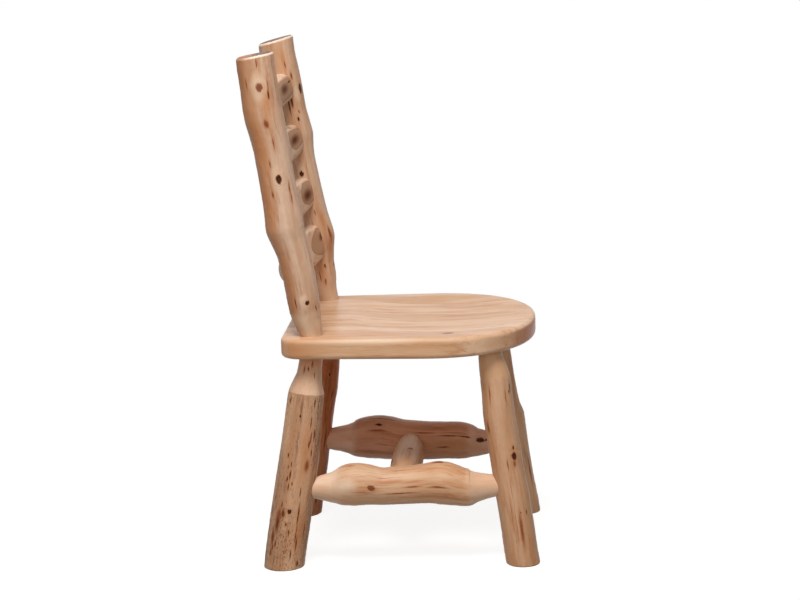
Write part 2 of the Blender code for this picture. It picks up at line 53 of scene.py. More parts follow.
# %% [markdown]
# ## Where the logs run
#
# A log in such a chair is crooked, so it is best described as a joiner would set it out:
# a straight line between two joints, and stations along it that say how thick the log is
# there and how far its heart wanders from the line. Each station is a share of the log's
# length, a share of its nominal radius, and two wanders as shares of that radius.

# %% Sizes of the chair
SEAT_TOP, SEAT_UNDERSIDE = 457 * MM, 417 * MM
SEAT_WIDTH, SEAT_REAR_WIDTH, SEAT_DEPTH = 472 * MM, 448 * MM, 486 * MM
SEAT_MIDDLE = -31.52 * MM
BACK_EDGE = SEAT_MIDDLE + SEAT_DEPTH / 2
FRONT_EDGE = SEAT_MIDDLE - SEAT_DEPTH / 2
POST_HEIGHT, POST_LEAN, POST_TOE_IN = 539 * MM, math.radians(9.11), math.radians(0.83)
FORWARD, UP, LEFT = Vector((0, -1, 0)), Vector((0, 0, 1)), Vector((1, 0, 0))
print(f"seat {SEAT_WIDTH / MM:.0f} x {SEAT_DEPTH / MM:.0f} mm, top at {SEAT_TOP / MM:.0f} mm")

# %% Stations of the legs
STATIONS = {}
STATIONS["rear_leg_right"] = (
    (0.06, 1.01, -0.04, 0), (0.23, 1.01, -0.01, 0.02), (0.38, 1.01, 0.01, 0.03), (0.52, 0.98, 0.03, 0.02),
    (0.61, 0.95, 0.02, 0), (0.7, 0.92, -0.01, 0), (0.78, 0.9, -0.03, 0), (0.825, 0.88, -0.03, 0),
    (0.85, 0.8, -0.03, 0), (0.872, 0.72, -0.02, 0), (0.9, 0.64, 0, 0), (0.93, 0.59, -0.01, 0),
)
STATIONS["rear_leg_left"] = (
    (0.06, 0.94, 0, 0), (0.24, 0.95, 0, -0.02), (0.4, 0.93, 0, -0.03), (0.53, 0.92, 0, -0.02),
    (0.6, 0.94, 0, 0), (0.67, 0.95, 0.02, 0), (0.76, 0.91, 0.01, 0), (0.82, 0.87, 0, 0), (0.85, 0.79, 0, 0),
    (0.875, 0.7, 0, 0), (0.9, 0.62, 0, 0), (0.93, 0.57, 0, 0),
)
STATIONS["front_leg_right"] = (
    (0.06, 1.045, -0.04, 0), (0.18, 1.035, -0.01, 0.02), (0.31, 1.035, -0.01, 0.03),
    (0.45, 1.005, -0.05, 0.02), (0.6, 1.005, -0.06, 0), (0.7, 0.995, -0.07, 0), (0.75, 0.975, -0.03, 0),
    (0.8, 0.945, 0.02, 0), (0.865, 0.935, 0.05, 0), (0.9, 0.895, 0.02, 0), (0.93, 0.835, -0.01, 0),
    (0.96, 0.765, -0.04, 0),
)
STATIONS["front_leg_left"] = (
    (0.05, 0.99, 0, 0), (0.18, 0.93, -0.01, 0.02), (0.3, 0.91, 0, 0.03), (0.42, 0.93, 0.01, 0.02),
    (0.485, 0.95, 0.03, 0), (0.52, 0.92, 0.01, 0), (0.55, 0.85, -0.04, 0), (0.6, 0.81, -0.06, 0),
    (0.72, 0.8, -0.06, 0), (0.82, 0.8, -0.04, 0), (0.9, 0.76, -0.01, 0), (0.95, 0.72, 0, 0),
)
print(len(STATIONS), "legs")

# %% Stations of the back posts
STATIONS["back_post_right"] = (
    (0.03, 0.675, -0.01, 0), (0.06, 0.765, -0.07, 0), (0.085, 0.815, -0.07, 0), (0.13, 0.845, -0.06, 0.02),
    (0.21, 0.865, -0.03, 0.03), (0.3, 0.88, -0.09, 0.02), (0.345, 0.945, -0.2, 0), (0.385, 1.025, -0.27, 0),
    (0.43, 0.995, -0.22, 0), (0.475, 0.945, -0.22, 0), (0.56, 0.935, -0.2, -0.03),
    (0.66, 0.955, -0.16, -0.04), (0.72, 0.985, -0.17, -0.03), (0.77, 1.035, -0.21, -0.02),
    (0.81, 1.025, -0.21, 0), (0.88, 1, -0.16, 0), (0.95, 0.995, -0.12, 0),
)
STATIONS["back_post_left"] = (
    (0.035, 0.7, -0.11, 0), (0.06, 0.78, -0.15, 0), (0.09, 0.84, -0.14, 0), (0.15, 0.89, -0.15, 0.02),
    (0.2, 0.94, -0.05, 0.02), (0.245, 1.01, 0.06, 0), (0.27, 1.01, 0.03, 0), (0.315, 0.97, -0.03, 0),
    (0.38, 0.95, -0.07, -0.02), (0.46, 0.94, -0.1, -0.03), (0.55, 0.945, -0.12, -0.03),
    (0.59, 0.97, -0.09, -0.02), (0.635, 1.02, -0.04, 0), (0.68, 1.01, -0.08, 0), (0.73, 0.985, -0.12, 0),
    (0.83, 1, -0.1, 0), (0.95, 0.98, -0.11, 0),
)
print(len(STATIONS), "logs with the posts")

# %% Stations of the stretchers
STATIONS["side_stretcher_right"] = (
    (0.09, 0.5, -0.06, 0), (0.104, 0.54, -0.06, 0), (0.178, 0.74, -0.06, 0), (0.214, 0.9, -0.03, 0),
    (0.25, 0.995, 0.04, 0), (0.29, 1.01, 0.07, 0), (0.33, 0.97, 0.06, 0.02), (0.37, 0.91, 0, 0.03),
    (0.405, 0.88, -0.05, 0.03), (0.44, 0.89, -0.03, 0.02), (0.53, 0.89, -0.01, 0),
    (0.62, 0.95, 0.06, -0.02), (0.66, 1.02, 0.08, -0.02), (0.7, 1.02, 0.03, -0.02), (0.735, 0.97, -0.06, 0),
    (0.77, 0.9, -0.15, 0), (0.805, 0.88, -0.2, 0), (0.84, 0.71, -0.17, 0), (0.88, 0.61, -0.14, 0),
    (0.925, 0.52, -0.12, 0),
)
STATIONS["side_stretcher_left"] = (
    (0.09, 0.52, 0.07, 0), (0.1, 0.57, 0.08, 0), (0.14, 0.64, 0.1, 0), (0.178, 0.74, 0.09, 0),
    (0.218, 0.92, 0.08, 0), (0.26, 1.04, 0.14, 0.02), (0.3, 1.08, 0.17, 0.03), (0.34, 1.1, 0.18, 0.03),
    (0.38, 1.09, 0.12, 0.02), (0.45, 1.01, 0.02, 0), (0.57, 0.97, -0.03, -0.02), (0.66, 0.94, -0.02, -0.02),
    (0.735, 0.94, -0.03, 0), (0.777, 0.88, -0.08, 0), (0.815, 0.73, -0.14, 0), (0.855, 0.63, -0.14, 0),
    (0.925, 0.51, -0.03, 0),
)
STATIONS["cross_stretcher"] = (
    (0.095, 0.56, 0, 0), (0.17, 0.84, 0, 0), (0.25, 0.95, 0.02, 0.02), (0.38, 1, 0.04, 0.04),
    (0.5, 1.02, 0.03, 0.05), (0.62, 0.97, 0, 0.03), (0.74, 0.9, 0, 0), (0.84, 0.8, 0, 0),
    (0.905, 0.56, 0, 0),
)
print(len(STATIONS), "logs with the stretchers")

# %% [markdown]
# ## Marks on the wood
#
# Peeled logs show where branches grew. A sound knot is a red-brown disc, a hollow one is
# nearly black, and the drawknife leaves slits and orange streaks of inner bark round them.
# Such marks could be painted on a picture, but a picture stretches when a size changes.
# Here each kind of mark has its rows: share along the log, angle round it in degrees, half
# its width and half its length in millimetres. The angle starts at the sitter's right, and
# at 90 degrees it faces forward on an upright log and up on a lying one. A few rows stand
# for painted shade or a painted highlight instead, and say so where they stand.

# %% Marks on the posts
MARKS = {}
MARKS["back_post_right"] = {
    "knot": ((0.888, 7, 6.1, 8), (0.775, -128, 6, 7.5), (0.25, 165, 5.5, 6)),
    "slit": ((0.972, 9, 1.3, 7.5), (0.858, 32, 1.9, 9.4), (0.129, -23, 1.5, 10.9), (0.098, 53, 1.3, 6.7),
        (0.56, 152, 1.8, 12)),
    "streak": ((0.889, 34, 1.9, 15), (0.69, 17, 2.1, 17), (0.525, 45, 2.5, 17), (0.49, 47, 1.9, 13.2),
        (0.514, -14, 2.4, 7.6), (0.906, -32, 1.9, 13.2), (0.66, 118, 3, 20), (0.3, -150, 3.2, 22)),
    "burn": ((0.759, 9, 4.7, 9.4), (0.621, -6, 1.9, 8.5)),
    "hole": ((0.564, 14, 5.7, 8), (0.123, 19, 4.8, 4.8), (0.395, -118, 5, 6.5)),
    "amber": ((0.368, -59, 6.5, 24), (0.83, 24, 7, 24.4), (0.7, -30, 12, 70), (0.48, -40, 11, 60)),
    "pale": ((0.888, 5, 15, 26), (0.56, 12, 13, 24), (0.129, 10, 10, 14)),
}
MARKS["back_post_left"] = {
    "amber": ((0.924, 21, 6, 24), (0.215, 55, 8, 30), (0.11, 12, 11, 34), (0.31, 42, 7, 20)),
    "streak": ((0.905, 24, 1.6, 9), (0.723, 41, 2, 4.1), (0.342, 22, 1.6, 7.1), (0.235, 62, 2, 16),
        (0.076, 20, 2.5, 7.2), (0.1, 2, 1.8, 10), (0.38, -120, 3.2, 24)),
    "hole": ((0.806, 65, 4.6, 9.7), (0.697, 32, 2.4, 3.7), (0.554, -17, 2.6, 4.1), (0.495, 7, 4.7, 5.1),
        (0.132, 74, 1.6, 4.1), (0.45, 170, 5, 6)),
    "burn": ((0.859, 38, 2.4, 8.1), (0.258, 55, 3.1, 14.3)),
    "slit": ((0.765, 23, 2.4, 11.1), (0.753, 12, 1.4, 18.2), (0.524, -20, 1.6, 5.1), (0.84, -160, 1.6, 12)),
    "knot": ((0.135, 27, 2.3, 4.1), (0.64, 128, 6, 7.5), (0.25, 150, 6, 7)),
    "pale": ((0.79, 50, 9, 16), (0.495, 10, 9, 14)),
}
print(len(MARKS), "posts with marks")

# %% Marks on the legs
MARKS["rear_leg_right"] = {
    "slit": ((0.942, -2, 1.7, 3.8), (0.791, -48, 2.3, 6.3), (0.792, 37, 1.7, 6.7), (0.806, 79, 1.7, 6.7),
        (0.63, 34, 1.2, 9.6), (0.598, 29, 1.8, 7.7), (0.539, -29, 1.9, 4.8), (0.451, -15, 1.5, 8.7),
        (0.394, -15, 1.1, 7.7), (0.378, 21, 1.1, 8.7), (0.27, 24, 1.5, 19.4), (0.1, -39, 1.8, 7.8),
        (0.222, -7, 1.9, 3.9), (0.038, 42, 2.3, 5.9), (0.3, -140, 1.8, 16), (0.5, -16, 1.2, 5),
        (0.485, -24, 1.1, 4), (0.43, -22, 1.3, 6), (0.41, -6, 1.1, 4), (0.16, -47, 1.8, 9),
        (0.12, -31, 1.5, 7), (0.07, -45, 1.6, 8), (0.23, -31, 1.8, 6), (0.266, -18, 2.6, 4.5),
        (0.305, -27, 1.2, 5), (0.7, 30, 1.2, 12), (0.64, 45, 1.4, 10), (0.56, 40, 1.2, 9),
        (0.13, 30, 1.4, 14), (0.08, 18, 1.2, 8), (0.18, 4, 1.1, 6)),
    "hole": ((0.727, -6, 1.7, 2.5), (0.282, -2, 3.7, 4.8), (0.137, -42, 2.7, 9.7), (0.6, 150, 5, 6)),
    "burn": ((0.175, 25, 1.6, 21.4), (0.251, -32, 5.8, 15.5), (0.45, 115, 3, 18)),
    "streak": ((0.501, 30, 5.8, 13.5), (0.197, 51, 1.9, 23.3), (0.935, -22, 2, 9), (0.915, 30, 1.5, 7),
        (0.965, 14, 2.2, 8)),
    # The two wide amber marks at 0.985 ring the leg just under the seat: painted shade of the seat
    "amber": ((0.56, 22, 12, 60), (0.2, 34, 10, 50), (0.985, 0, 30, 26), (0.985, 30, 16, 22)),
    "pith": ((0.215, -34, 4.5, 17), (0.268, -20, 3, 9), (0.15, -43, 3.4, 13)),
}
MARKS["rear_leg_left"] = {
    "hole": ((0.744, 32, 2.1, 3.5), (0.66, -110, 4, 5)),
    "burn": ((0.638, 51, 1.4, 12.4), (0.096, 40, 2.1, 10.5), (0.25, 130, 3.2, 20)),
    "streak": ((0.407, 47, 3.1, 31.2),),
    "knot": ((0.56, 160, 5.5, 6.5),),
    "slit": ((0.33, -150, 1.8, 14),),
}
MARKS["front_leg_right"] = {
    "hole": ((0.82, 60, 1.9, 6.7), (0.544, 35, 1.9, 3.8), (0.506, 32, 4.8, 7.6)),
    "slit": ((0.803, 53, 1.9, 2.9), (0.245, 44, 1.2, 5.8)),
    "streak": ((0.785, 34, 1.3, 13.4), (0.473, 5, 1.3, 13.5), (0.65, -49, 3.3, 15.4), (0.245, 20, 1.9, 3.3),
        (0.167, 16, 3.9, 38.7), (0.801, -26, 1.7, 19.2), (0.35, -150, 2, 16)),
    "burn": ((0.476, 29, 2.9, 8.7),),
    "knot": ((0.62, 140, 5, 6),),
    "amber": ((0.525, 33, 6.5, 17),),
}
MARKS["front_leg_left"] = {
    "hole": ((0.517, 87, 2.7, 6.7),),
    "streak": ((0.649, 93, 3.1, 20.6), (0.218, 57, 3.1, 31.2), (0.3, -60, 3, 24)),
    "knot": ((0.4, 160, 5, 6.5),),
    "slit": ((0.7, -140, 1.6, 12),),
}
print(len(MARKS), "logs with the legs")

# %% Marks on the stretchers
MARKS["side_stretcher_right"] = {
    "knot": ((0.359, 7, 5.4, 6.7), (0.664, 84, 3.5, 10.6)),
    "streak": ((0.665, 3, 2.5, 21.2), (0.546, 8, 1.9, 17.3), (0.26, 77, 1.9, 8.7), (0.49, -10, 1.9, 38.6),
        (0.62, -160, 3, 30)),
    "amber": ((0.454, 26, 4.2, 34), (0.546, 23, 4, 32), (0.627, -25, 5.5, 70), (0.5, -58, 9, 100)),
    "hole": ((0.3, 165, 5, 7),),
    "pale": ((0.235, 14, 18, 24),),
}
MARKS["side_stretcher_left"] = {
    "hole": ((0.341, 48, 2.5, 6.2), (0.837, 23, 5.2, 9.3), (0.871, 22, 2.1, 4.1)),
    "streak": ((0.337, 32, 2.1, 20.7), (0.363, 72, 2.1, 35.3), (0.6, 140, 3, 36)),
    "slit": ((0.686, 27, 1.2, 22.7), (0.769, 27, 1.7, 14.5), (0.655, -8, 1.4, 12.4)),
    "burn": ((0.567, 36, 1.4, 20.7),),
    "knot": ((0.42, 160, 5.4, 7),),
    "amber": ((0.7, 0, 14, 46),),
}
MARKS["cross_stretcher"] = {
    "knot": ((0.42, 75, 4.5, 6),),
    "streak": ((0.64, 20, 2.4, 26),),
    "slit": ((0.3, 150, 2, 14),),
}


def rows_of(kinds):
    """The marks of one log as rows that end with their kind."""
    return [(*row, kind) for kind, rows in kinds.items() for row in rows]


print("marks:", {node: len(rows_of(kinds)) for node, kinds in MARKS.items()})

# %% [markdown]
# ## A log as numbers
#
# Between its stations a log has no corners, but the round tenons and their shoulders are
# turned, so they keep crisp edges. Both come from one set of stations: the plain broken
# line is softened over a short length where it is turned, and over a long one where the
# tree shaped it. The wood also needs to know how deep below the tree's own skin a point
# lies, because the growth rings follow that skin. So each log can measure a point as a
# place in the tree: two directions across the heart and one along it.

# %% A log on its line
RING_STEP, FINE_STEP = 2.5 * MM, 0.6 * MM
TREE_SOFTNESS, TURNED_SOFTNESS, SKIN_FADE = 9 * MM, 4 * MM, 5 * MM


def softened(values, width):
    """Values on the even grid of a log, averaged over a bell of this width. Their ends are kept."""
    reach = max(1, round(width / FINE_STEP))
    bell = np.hanning(2 * reach + 3)[1:-1]
    padded = np.pad(values, reach, mode="reflect", reflect_type="odd")
    return np.convolve(padded, bell / bell.sum(), mode="valid")


class Log:
    """A peeled log between two places. Tips are (distance past an end, radius), and skin is the
    part between two shares where the tree's own surface is left."""

    def __init__(self, node, start, end, radius, wander, faces, skin, tips):
        self.node, self.radius = node, radius
        self.start, self.end = np.array(start), np.array(end)
        self.length = float(np.linalg.norm(self.end - self.start))
        self.along = (self.end - self.start) / self.length
        self.first = np.array(faces[0]) - self.along * (self.along @ np.array(faces[0]))
        self.first /= np.linalg.norm(self.first)
        self.second = np.cross(self.along, self.first)
        self.second *= np.sign(self.second @ np.array(faces[1]))
        rows = [(-past, thick, 0, 0) for past, thick in tips[0]]
        rows += [(share * self.length, swell * radius, a, b) for share, swell, a, b in STATIONS[node]]
        rows += [(self.length + past, thick, 0, 0) for past, thick in tips[1]]
        reach, *lines = np.array(rows).T
        self.even = np.arange(reach[0], reach[-1] + FINE_STEP, FINE_STEP)
        low, high = np.array(skin) * self.length
        rising, falling = (self.even - low) / SKIN_FADE + 0.5, (high - self.even) / SKIN_FADE + 0.5
        self.tree = np.clip(rising, 0, 1) * np.clip(falling, 0, 1)
        self.girth, first_line, second_line = [
            softened(line, TREE_SOFTNESS) * self.tree + softened(line, TURNED_SOFTNESS) * (1 - self.tree)
            for line in (np.interp(self.even, reach, line) for line in lines)]
        self.drift = radius * (np.outer(first_line, wander[0]) + np.outer(second_line, wander[1]))
        self.skin = np.interp(np.clip(self.even, low + SKIN_FADE, high - SKIN_FADE), self.even, self.girth)

    def at(self, reach, values):
        """Values of the even grid at these distances along the log."""
        if values.ndim == 1:
            return np.interp(reach, self.even, values)
        return np.stack([np.interp(reach, self.even, column) for column in values.T], 1)

    def heart(self, reach):
        return self.start + np.outer(reach, self.along) + self.at(reach, self.drift)

    def surface(self, share, angle):
        """The place of a mark on the skin."""
        reach, turn = np.array([share * self.length]), math.radians(angle)
        outward = math.cos(turn) * self.first + math.sin(turn) * self.second
        return self.heart(reach) + outward * self.at(reach, self.girth)

    def in_the_tree(self, points):
        """Points in the tree: across the heart twice, with the skin at the nominal radius, and along it."""
        reach = (points - self.start) @ self.along
        out = points - self.heart(reach)
        scale = self.radius / self.at(reach, self.skin)
        return np.stack([out @ self.first * scale, out @ self.second * scale, reach], 1)


print("one log class, rings every", RING_STEP / MM, "mm")

# %% [markdown]
# ## Setting out the nine round logs
#
# The posts lean back and toe in, the rear legs rake back and the front legs forward, and
# all four legs splay. Setting out is the same on paper and here: one end is on the seat, and
# the tangent of each angle gives the other end. The stretchers then run between the legs.

# %% Legs and posts
REAR_LEG = dict(radius=39 * MM, depth=17 * MM, out=172 * MM, back=BACK_EDGE - 57 * MM,
                rake=math.radians(9.06), splay=math.radians(2.2))
FRONT_LEG = dict(radius=31 * MM, depth=24 * MM, out=150 * MM, back=FRONT_EDGE + 87 * MM,
                 rake=-math.radians(7.8), splay=math.radians(4.7))
LEG_TENON, POST_TENON, POST_DEPTH, OVERRUN = 22 * MM, 21 * MM, 17 * MM, 30 * MM
POST_RADIUS, POST_OUT, POST_FROM_BACK = 36 * MM, 183 * MM, 59 * MM


def leg(node, side, size, turned_from):
    head = Vector((side * size["out"], size["back"], SEAT_UNDERSIDE))
    foot = head + Vector((side * math.tan(size["splay"]), math.tan(size["rake"]), -1)) * SEAT_UNDERSIDE
    radius = size["radius"]
    tips = [(OVERRUN, radius * STATIONS[node][0][1])], [(0, LEG_TENON), (size["depth"], LEG_TENON)]
    return Log(node, foot, head, radius, (FORWARD, LEFT * side), (-LEFT, FORWARD), (-1, turned_from), tips)


def post(node, side, turned_to):
    foot = Vector((side * POST_OUT, BACK_EDGE - POST_FROM_BACK, SEAT_TOP))
    top = foot + Vector((-side * math.tan(POST_TOE_IN), math.tan(POST_LEAN), 1)) * POST_HEIGHT
    tips = [(POST_DEPTH, POST_TENON), (0, POST_TENON)], [(OVERRUN, POST_RADIUS)]
    return Log(node, foot, top, POST_RADIUS, (FORWARD, LEFT * side), (-LEFT, FORWARD), (turned_to, 2), tips)


legs = [leg("rear_leg_right", -1, REAR_LEG, 0.825), leg("rear_leg_left", 1, REAR_LEG, 0.82),
        leg("front_leg_right", -1, FRONT_LEG, 0.865), leg("front_leg_left", 1, FRONT_LEG, 0.90)]
posts = [post("back_post_right", -1, 0.085), post("back_post_left", 1, 0.09)]
print("legs and posts, mm long:", [round(one.length / MM) for one in legs + posts])

# %% Stretchers
STRETCHER_HEIGHT, SIDE_RADIUS, CROSS_RADIUS = 157 * MM, 41 * MM, 31 * MM
STRETCHER_TENON, CROSS_TENON = 19 * MM, 17 * MM
SIDE_SHORT_OF_AXES, CROSS_SHORT_OF_AXES = (10 * MM, 6 * MM), (8 * MM, 8 * MM)
CROSS_PLACE, CROSS_RISE = 0.495, 2 * MM


def stretcher(node, start, end, radius, tenon, short, faces, skin):
    run = (end - start).normalized()
    tips = [(-short[0], tenon)], [(-short[1], tenon)]
    return Log(node, start, end, radius, (UP, run.cross(UP)), faces, skin, tips)


def side_stretcher(node, rear, front, skin):
    share = STRETCHER_HEIGHT / SEAT_UNDERSIDE
    ends = [Vector(one.start).lerp(Vector(one.end), share) for one in (rear, front)]
    return stretcher(node, *ends, SIDE_RADIUS, STRETCHER_TENON, SIDE_SHORT_OF_AXES, (-LEFT, UP), skin)


sides = [side_stretcher("side_stretcher_right", legs[0], legs[2], (0.214, 0.805)),
         side_stretcher("side_stretcher_left", legs[1], legs[3], (0.218, 0.777))]
crossing = [Vector(side.start).lerp(Vector(side.end), CROSS_PLACE) + UP * CROSS_RISE for side in sides]
cross = stretcher("cross_stretcher", *crossing, CROSS_RADIUS, CROSS_TENON, CROSS_SHORT_OF_AXES,
                  (FORWARD, UP), (0.17, 0.84))
print("stretchers, mm long:", [round(one.length / MM) for one in sides + [cross]])

# %% [markdown]
# ## One tree for Geometry Nodes, nine times a log
#
# A skin could be built face by face, but a log follows a rule: a ring at each step of its
# heart line, as wide as the log is there. Geometry Nodes keep such a rule in one place.
# The node tree sweeps a circle along the heart line, ripples it as a tree does, hollows it
# with the long flats that a drawknife leaves, and lifts a collar round each knot. Each sum in
# such a tree is a node too. So a node is held as a part here, and adding two parts adds the
# node that works out their sum.

# %% Nodes that can be reckoned with
class Part:
    """An output of a node. Sums and products of parts add maths nodes to their tree."""

    def __init__(self, node, chosen=None):
        self.node, self.tree, self.chosen = node, node.id_data, chosen

    def __getitem__(self, output):
        return Part(self.node, self.node.outputs[output])

    def __add__(self, other):
        return maths("ADD", self, other)

    def __sub__(self, other):
        return maths("SUBTRACT", self, other)

    def __mul__(self, other):
        return maths("MULTIPLY", self, other)

    def __truediv__(self, other):
        return maths("DIVIDE", self, other)

    def __pow__(self, other):
        return maths("POWER", self, other)

    def into(self, socket):
        """Links this output to a socket. If none was chosen, it is the first that is in use."""
        in_use = [output for output in self.node.outputs if output.enabled]
        self.tree.links.new(in_use[0] if self.chosen is None else self.chosen, socket)


def add(tree, kind, *values, **settings):
    """A new node. Its values go into the sockets in order: a part is linked, None is skipped."""
    node = tree.nodes.new(kind)
    for name, value in settings.items():
        setattr(node, name, value)
    for socket, value in zip([socket for socket in node.inputs if socket.enabled], values):
        if isinstance(value, Part):
            value.into(socket)
        elif value is not None:
            socket.default_value = value
    return Part(node)


def maths(operation, *values):
    return add(values[0].tree, "ShaderNodeMath", *values, operation=operation)


def vectors(operation, *values):
    return add(values[0].tree, "ShaderNodeVectorMath", *values, operation=operation)


def new_tree(name, kind, inputs, outputs):
    """An empty node group, its inputs as a part and its outputs as sockets."""
    tree = bpy.data.node_groups.new(name, kind)
    for label, socket_type, *value in inputs:
        socket = tree.interface.new_socket(label, in_out="INPUT", socket_type="NodeSocket" + socket_type)
        if value:
            socket.default_value = value[0]
    for label, socket_type in outputs:
        tree.interface.new_socket(label, in_out="OUTPUT", socket_type="NodeSocket" + socket_type)
    return tree, Part(tree.nodes.new("NodeGroupInput")), tree.nodes.new("NodeGroupOutput").inputs


print("node helpers ready")

# %% The tree that makes a peeled log
log_tree, given, result = new_tree(
    "Peeled log", "GeometryNodeTree",
    [("Heart line", "Geometry"), ("Points round", "Int", 96), ("Ripple", "Float", 0.55 * MM),
     ("Flats", "Float", 0.7 * MM), ("Knots", "Object"), ("Seed", "Int"), ("Wood", "Material")],
    [("Log", "Geometry")])


def attribute(name, kind="FLOAT"):
    return add(log_tree, "GeometryNodeInputNamedAttribute", name, data_type=kind)


def stored(geometry, name, value):
    values = geometry, None, name, value
    return add(log_tree, "GeometryNodeStoreNamedAttribute", *values, data_type="FLOAT_VECTOR")


place = add(log_tree, "GeometryNodeInputPosition")
line = stored(add(log_tree, "GeometryNodeMeshToCurve", given["Heart line"]), "heart_place", place)
ring = add(log_tree, "GeometryNodeCurvePrimitiveCircle", given["Points round"])
ring.node.inputs["Radius"].default_value = 1
skin = add(log_tree, "GeometryNodeCurveToMesh", line, stored(ring, "round", place))
attribute("girth").into(skin.node.inputs["Scale"])
skin.node.inputs["Fill Caps"].default_value = True

# Ripple and flats are read from places on an unrolled log: round it, along it, and by its seed.
SHIFT_BY_SEED = 7.31
round_place = add(log_tree, "ShaderNodeSeparateXYZ", attribute("round", "FLOAT_VECTOR"))
along = attribute("along")
shift = given["Seed"] * SHIFT_BY_SEED


def unrolled(across, lengthwise):
    return add(log_tree, "ShaderNodeCombineXYZ", round_place[0] * across, round_place[1] * across,
               along * lengthwise + shift)


swell = add(log_tree, "ShaderNodeTexNoise", unrolled(1.3, 11), None, 1.0, 2.0)
ripple = (swell - 0.5) * given["Ripple"] * 3
flat = add(log_tree, "ShaderNodeTexVoronoi", unrolled(2.1, 13))
flat.node.inputs["Scale"].default_value = 1
hollow = (flat ** 2 - 0.2) * given["Flats"]
tree_made = (ripple + hollow) * attribute("tree")

# A collar round the nearest knot: a bell that lifts the skin, less a narrow one that sinks its eye.
knots = add(log_tree, "GeometryNodeObjectInfo", given["Knots"])["Geometry"]
nearest = add(log_tree, "GeometryNodeSampleNearest", knots, place)


def of_knot(value, kind="FLOAT"):
    return add(log_tree, "GeometryNodeSampleIndex", knots, value, nearest, data_type=kind)


away = vectors("DISTANCE", place, of_knot(place, "FLOAT_VECTOR")) / of_knot(attribute("spread"))
bell, eye = [maths("EXPONENT", away ** 2 * -narrow) for narrow in (1, 9)]
collar = bell * of_knot(attribute("rise")) - eye * of_knot(attribute("sink"))
outward = vectors("NORMALIZE", vectors("SUBTRACT", place, attribute("heart_place", "FLOAT_VECTOR")))
offset = add(log_tree, "ShaderNodeVectorMath", outward, operation="SCALE")
(tree_made + collar).into(offset.node.inputs["Scale"])
skin = add(log_tree, "GeometryNodeSetPosition", skin, None, None, offset)
skin = add(log_tree, "GeometryNodeSetShadeSmooth", skin)
skin = add(log_tree, "GeometryNodeRealizeInstances", skin)
add(log_tree, "GeometryNodeSetMaterial", skin, None, given["Wood"]).into(result["Log"])
print("log tree has", len(log_tree.nodes), "nodes")

# %% [markdown]
# ## From the heart line to a sawn log
#
# The heart line and the knots go in as bare points with numbers on them. What comes out is
# turned into a plain mesh. Then the saw follows: a foot is cut level with the floor and a
# post is cut across its top. A joiner eases such a rim with a file, so the points near the
# cut are first drawn in along a quarter round.

# %% Make one log
# How far the skin's lift spreads round a mark, as a multiple of its half width, and how many
# millimetres the skin rises and its eye sinks
COLLARS = {"knot": (1.5, 1.08, 0.0), "hole": (1.8, 1.44, 1.3)}
COLLAR_ROOM, SIZE_OF_FULL_COLLAR = 6 * MM, 5 * MM
SAW_STEP, BEFORE_SAW, BEHIND_SAW, CLOSEST_RINGS = 1 * MM, 12 * MM, 8 * MM, 0.3 * MM


def linked(name, data):
    """A new object in the scene."""
    made = bpy.data.objects.new(name, data)
    bpy.context.scene.collection.objects.link(made)
    return made


def points_object(name, points, numbers, joined):
    mesh = bpy.data.meshes.new(name)
    edges = [(i, i + 1) for i in range(len(points) - 1)] if joined else []
    mesh.from_pydata([tuple(point) for point in points], edges, [])
    for label, values in numbers.items():
        mesh.attributes.new(label, "FLOAT", "POINT").data.foreach_set("value", np.asarray(values, np.float32))
    return linked(name, mesh)


def knot_points(log, marks):
    grown = [mark for mark in marks if mark[4] in COLLARS] or [(0.5, 0, 1, 1, "knot")]
    places = np.concatenate([log.surface(share, angle) for share, angle, *_ in grown])
    sizes = np.array([across * MM for _, _, across, _, _ in grown])
    fullness = np.minimum(sizes / SIZE_OF_FULL_COLLAR, 1) * MM
    spread, rise, sink = np.array([COLLARS[mark[4]] for mark in grown]).T
    numbers = {"spread": sizes * spread + COLLAR_ROOM, "rise": rise * fullness, "sink": sink * fullness}
    return points_object(log.node + "_knots", places, numbers, joined=False)


def skinned(log, number, marks, wood, sawn=()):
    """The log's mesh from the node tree. Rings are closer together near a sawn end."""
    reach = np.arange(log.even[0], log.even[-1] + RING_STEP / 2, RING_STEP)
    for cut in sawn:
        reach = np.union1d(reach, np.arange(cut - BEFORE_SAW, cut + BEHIND_SAW, SAW_STEP))
    reach = reach[np.append(True, np.diff(reach) > CLOSEST_RINGS)]
    numbers = {"girth": log.at(reach, log.girth), "tree": log.at(reach, log.tree), "along": reach}
    line = points_object(log.node + "_line", log.heart(reach), numbers, joined=True)
    knots = knot_points(log, marks)
    modifier = line.modifiers.new("Peeled log", "NODES")
    modifier.node_group = log_tree
    chosen = {"Knots": knots, "Seed": number, "Wood": wood}
    for item in log_tree.interface.items_tree:
        if item.in_out == "INPUT" and item.name in chosen:
            modifier[item.identifier] = chosen[item.name]
    bpy.context.view_layer.update()
    graph = bpy.context.evaluated_depsgraph_get()
    mesh = bpy.data.meshes.new_from_object(line.evaluated_get(graph))
    line.modifiers.remove(modifier)
    for helper in (line, knots):
        bpy.data.objects.remove(helper)
    return mesh


def coordinates(mesh):
    flat = np.empty(len(mesh.vertices) * 3, np.float32)
    mesh.vertices.foreach_get("co", flat)
    return flat.reshape(-1, 3).astype(float)


def cut_across(shape, place, outward):
    """Cuts off what lies outward of a place and closes the cut with one face."""
    whole = [*shape.verts, *shape.edges, *shape.faces]
    cut = bmesh.ops.bisect_plane(shape, geom=whole, plane_co=place, plane_no=outward, clear_outer=True)
    rim = [part for part in cut["geom_cut"] if isinstance(part, bmesh.types.BMEdge)]
    bmesh.ops.contextual_create(shape, geom=rim)


